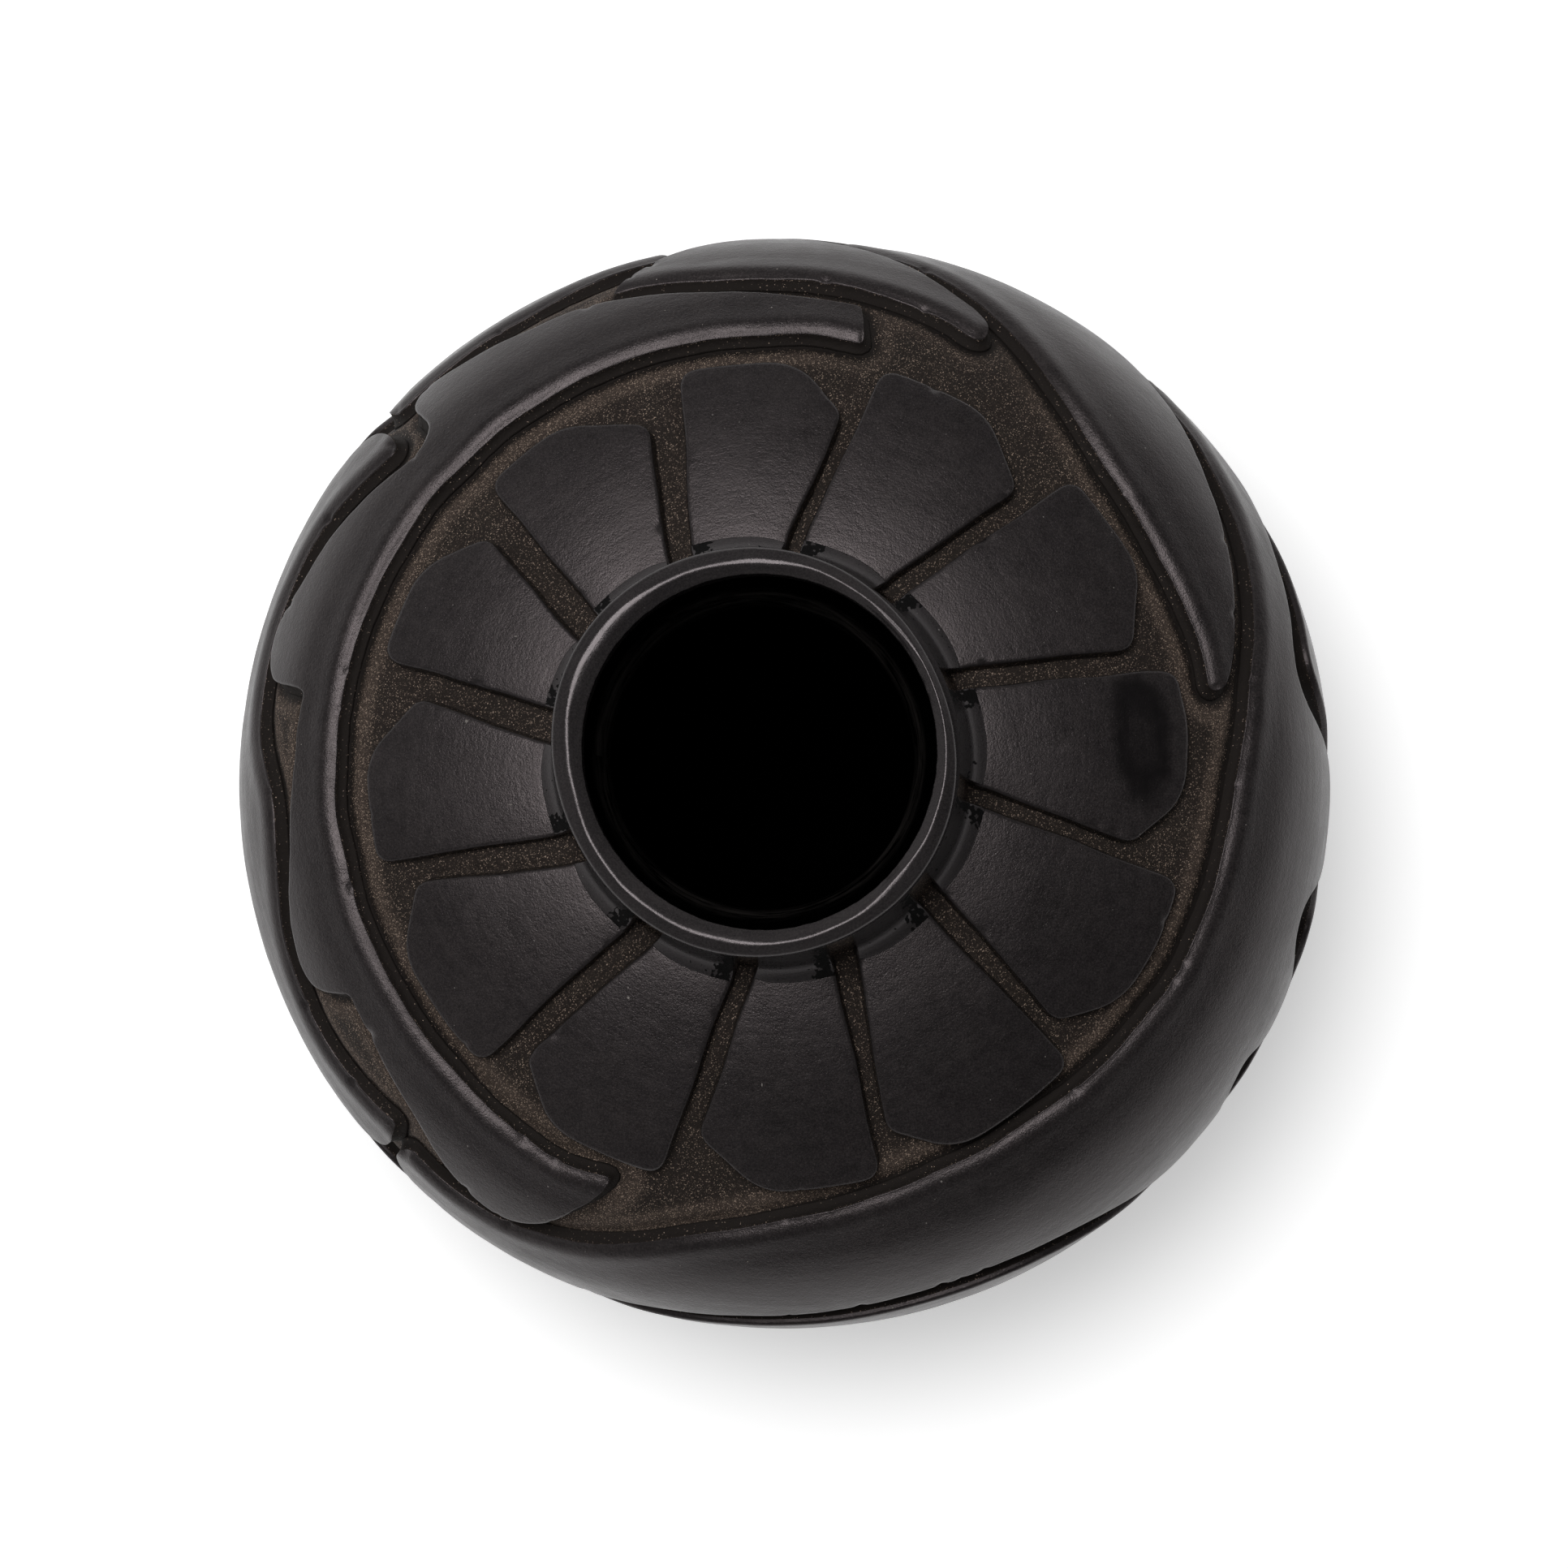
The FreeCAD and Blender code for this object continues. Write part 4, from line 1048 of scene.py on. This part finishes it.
# Inside of the neck: (radius, height) rows down from the lip.
NECK_INSIDE = ((24.6, 102.2), (24.2, 101.0), (23.0, 98.6), (22.0, 96.6), (21.2, 94.2),
               (20.8, 91.0), (20.9, 87.5), (22.0, 83.8), (26.0, 82.6))
GROOVE_WAIST = 26.85
GROOVE_FOOT = 31.0
GROOVE_LOW = 84.0
GROOVE_GRIT = 0.45
# How far a nook runs back from its groove in degrees, at the foot and on the wall above it.
NOOK_ENDS = (-5.6, -3.0)


def root_sides(line):
    """For a feather's clockwise and anticlockwise sides: (azimuth a metre on, azimuth) there."""
    near = line[(line[:, 1] > 0.3 * MM) & (line[:, 1] < 6 * MM)]
    middle = (near[:, 0].min() + near[:, 0].max()) / 2
    return [np.polyfit(rows[:, 1], rows[:, 0], 1)
            for rows in (near[near[:, 0] < middle], near[near[:, 0] > middle])]


def neck_marks(turns, inward, feather_lines):
    """Masks over turns and rows: the grooves, the black nooks beside them, the arches."""
    sides = sorted((root_sides(line) for line in feather_lines),
                   key=lambda pair: (pair[0][1] + pair[1][1]) / 2 % (2 * math.pi))
    groove, nook, arch = (np.zeros((len(turns), inward.shape[1])) for _ in range(3))
    edge = 0.15 * MM / (29 * MM)
    for (low_side, high_side), (next_side, _) in zip(sides, sides[1:] + sides[:1]):
        start = turned_from(turns[:, None], high_side[1] - high_side[0] * inward)
        end = turned_from(turns[:, None], next_side[1] - next_side[0] * inward)
        near = np.abs(start) < 0.5
        cut = smooth_step(-edge, edge, start) * (1 - smooth_step(-edge, edge, end))
        groove += np.where(near, cut, 0)
        before = np.degrees(start)
        far = NOOK_ENDS[0] + (NOOK_ENDS[1] - NOOK_ENDS[0]) * inward / (3.4 * MM)
        mark = smooth_step(far - 2.4, far + 1.6, before) * (1 - smooth_step(-1.2, -0.3, before))
        nook += np.where(near, mark, 0)
        begin = turned_from(turns[:, None], low_side[1] - low_side[0] * inward)
        share = np.clip(begin / np.maximum(begin - start, 1e-6), 0, 1)
        arch += np.where(near & (begin > 0) & (start < 0), 1 - np.exp(-share / 0.2), 0)
    return groove, nook, arch


def make_neck(feather_lines, polished, gritty, smoked_and_shaded, nook_clay):
    """The neck, with the ends of the grooves cut up it, and the lip as a piece of its own."""
    count = 1800
    turns = full_turn(count)
    rise = np.linspace(0, 1, 64) ** 1.9
    steps = rise * (NECK_TOP - GROOVE_LOW)
    curl = sum(np.interp(steps + shift, *NECK_ROWS) for shift in NECK_BLUR) / len(NECK_BLUR)
    uneven = waves(turns, NECK_WAVES)[:, None]
    inward = np.broadcast_to((NECK_FOOT - NECK_WAIST) * (1 - curl) * MM, (count, len(rise)))
    groove, nook, arch = neck_marks(turns, inward, feather_lines)
    groove *= 1 - smooth_step(0.50, 0.95, rise)
    foot = NECK_FOOT + uneven + 0.85 * arch[:, :1] - 0.6
    foot_height = section(foot[:, 0] * MM - CREASE_RADIUS, 0.0)[1][:, None] / MM
    wall_radius = NECK_WAIST + uneven + (foot - NECK_WAIST - uneven) * curl + 0.3 * rise ** 3
    wall_height = foot_height + (NECK_TOP - foot_height) * rise
    groove_radius = GROOVE_WAIST + uneven + (GROOVE_FOOT - GROOVE_WAIST) * curl
    groove_height = GROOVE_LOW + (NECK_TOP - GROOVE_LOW) * rise
    radius = wall_radius + (groove_radius - wall_radius) * groove
    height = wall_height + (groove_height - wall_height) * groove
    spots = round_axis(turns, radius * MM, height * MM).reshape(-1, 3)
    rough = field(spots, 2.4 * MM, SEED + 92).reshape(radius.shape)
    scratchy = field(spots * np.array((1, 1, 0.3)), 0.5 * MM, SEED + 93).reshape(radius.shape)
    nook *= (1 - smooth_step(0.75, 1.0, rise)) * (1 - groove)
    nook = nook + 0.25 * rough + 0.95 * scratchy > 0.62
    smooth = field(spots, 12 * MM, SEED + 94).reshape(radius.shape)
    radius = radius + 0.08 * smooth
    radius -= groove * 0.10 * (rough + scratchy)
    sunk = np.stack([radius[:, 0] + 0.4, height[:, 0] - 0.9], axis=-1)
    inner = divided(NECK_INSIDE, 0.8)
    outer = round_axis(turns, np.hstack([sunk[:, :1], radius]) * MM,
                       np.hstack([sunk[:, 1:], height]) * MM)
    within = round_axis(turns, (inner[:, 0] + 0.4 * uneven) * MM, inner[:, 1] * MM)
    piece = lofted("turned_neck", np.concatenate([outer, within], axis=1), polished)
    rows = outer.shape[1] + within.shape[1]
    cut = np.zeros((count, rows))
    cut[:, 1:outer.shape[1]] = groove
    point_values(piece, "channel", GROOVE_GRIT * cut.reshape(-1))
    cut = (cut + np.roll(cut, -1, axis=0) > 1.0).astype(np.int32)
    cut[:, 1:outer.shape[1]] += 3 * (nook & (cut[:, 1:outer.shape[1]] == 0))
    cut[:, 0] = cut[:, 1]
    # The inside of the neck takes the near-black painted shade.
    cut[:, outer.shape[1]:] = 2
    for material in (gritty, smoked_and_shaded, nook_clay):
        piece.data.materials.append(material)
    piece.data.polygons.foreach_set("material_index", cut.reshape(-1))
    finish_piece(piece, "polished_neck", "neck_collar")


def lip_section():
    """Section of the lip as (distance out from its ridge, height) rows, in millimetres."""
    rows = [(-1.75, 101.0), (-1.8, 103.0), (-1.85, 105.0)]
    rows += arc_rows((-1.55, 105.88), 0.3, 190, 120, 8)
    rows += arc_rows((0.0, 106.2), 0.8, 120, 65, 16)
    rows += arc_rows((1.08, 105.586), 0.90, 65, -60, 22)
    rows += [(1.3, 104.3), (1.1, 103.4), (1.05, 101.0)]
    return divided(rows, 0.25)


def make_lip(polished, smoked_and_shaded):
    """The rolled lip: a low ridge between two sloping facets, uneven all round."""
    count = 1080
    turns = full_turn(count)
    circle = round_axis(turns, 26 * MM, 0.0)[:, 0]
    rows = lip_section()
    away, height = rows[:, 0][None, :], rows[:, 1][None, :]
    outer = (LIP_OUTER + waves(turns, LIP_OUTER_WAVES))[:, None]
    inner = (LIP_INNER + waves(turns, LIP_INNER_WAVES))[:, None]
    drift = field(circle, 6 * MM, SEED + 91)[:, None]
    ridge = inner + (outer - inner) * (0.49 + 0.06 * drift + waves(turns, RIDGE_WAVES)[:, None])
    radius = ridge + away * np.where(away > 0, (outer - ridge) / 1.98, (ridge - inner) / 1.85)
    height = np.broadcast_to(height, radius.shape)
    spots = round_axis(turns, radius * MM, height * MM).reshape(-1, 3)
    dents = roughness(spots, (1, 9, SEED + 95), (0.55, 3.6, SEED + 96), (0.16, 1.3, SEED + 99))
    dents = dents.reshape(radius.shape)
    top = smooth_step(103.0, 105.5, height)
    lobe = np.clip(field(circle, 13 * MM, SEED + 89), 0, 1)[:, None]
    height = height + top * lobe * 0.28 * np.exp(-((away + 0.85) / 0.45) ** 2)
    height = height - top * lobe * 0.16 * np.exp(-(away / 0.4) ** 2)
    height = height - 0.13 * (1.9 + dents) * top
    fine = field(spots, 1.2 * MM, SEED + 88).reshape(radius.shape)
    radius = radius + 0.07 * fine * smooth_step(1.3, 1.8, -away)
    points = round_axis(turns, radius * MM, height * MM)
    piece = lofted("rolled_lip", points, polished)
    piece.data.materials.append(smoked_and_shaded)
    # The lowest rows inside the lip take the inside's near-black painted shade.
    dark = np.tile(np.arange(len(rows)) < 6, count).astype(np.int32)
    piece.data.polygons.foreach_set("material_index", dark)
    finish_piece(piece, "polished_neck", "rim_lip")


scene = bpy.context.scene
scene.view_settings.view_transform = "Standard"
make_camera()
make_light()
make_world()
make_floor()
burnished = burnished_material()
ground = ground_material()
neck = neck_material()
smoked_and_shaded = inside_material()
edges = make_raised(burnished, ground)
feather_edges = edges[:FEATHER_COUNT]
band_edges = edges[FEATHER_COUNT:] + [make_skirt(burnished, ground)]
make_ground(feather_edges, band_edges, ground, smoked_and_shaded)
make_neck(feather_edges, neck, ground, smoked_and_shaded, nook_material())
make_lip(neck, smoked_and_shaded)
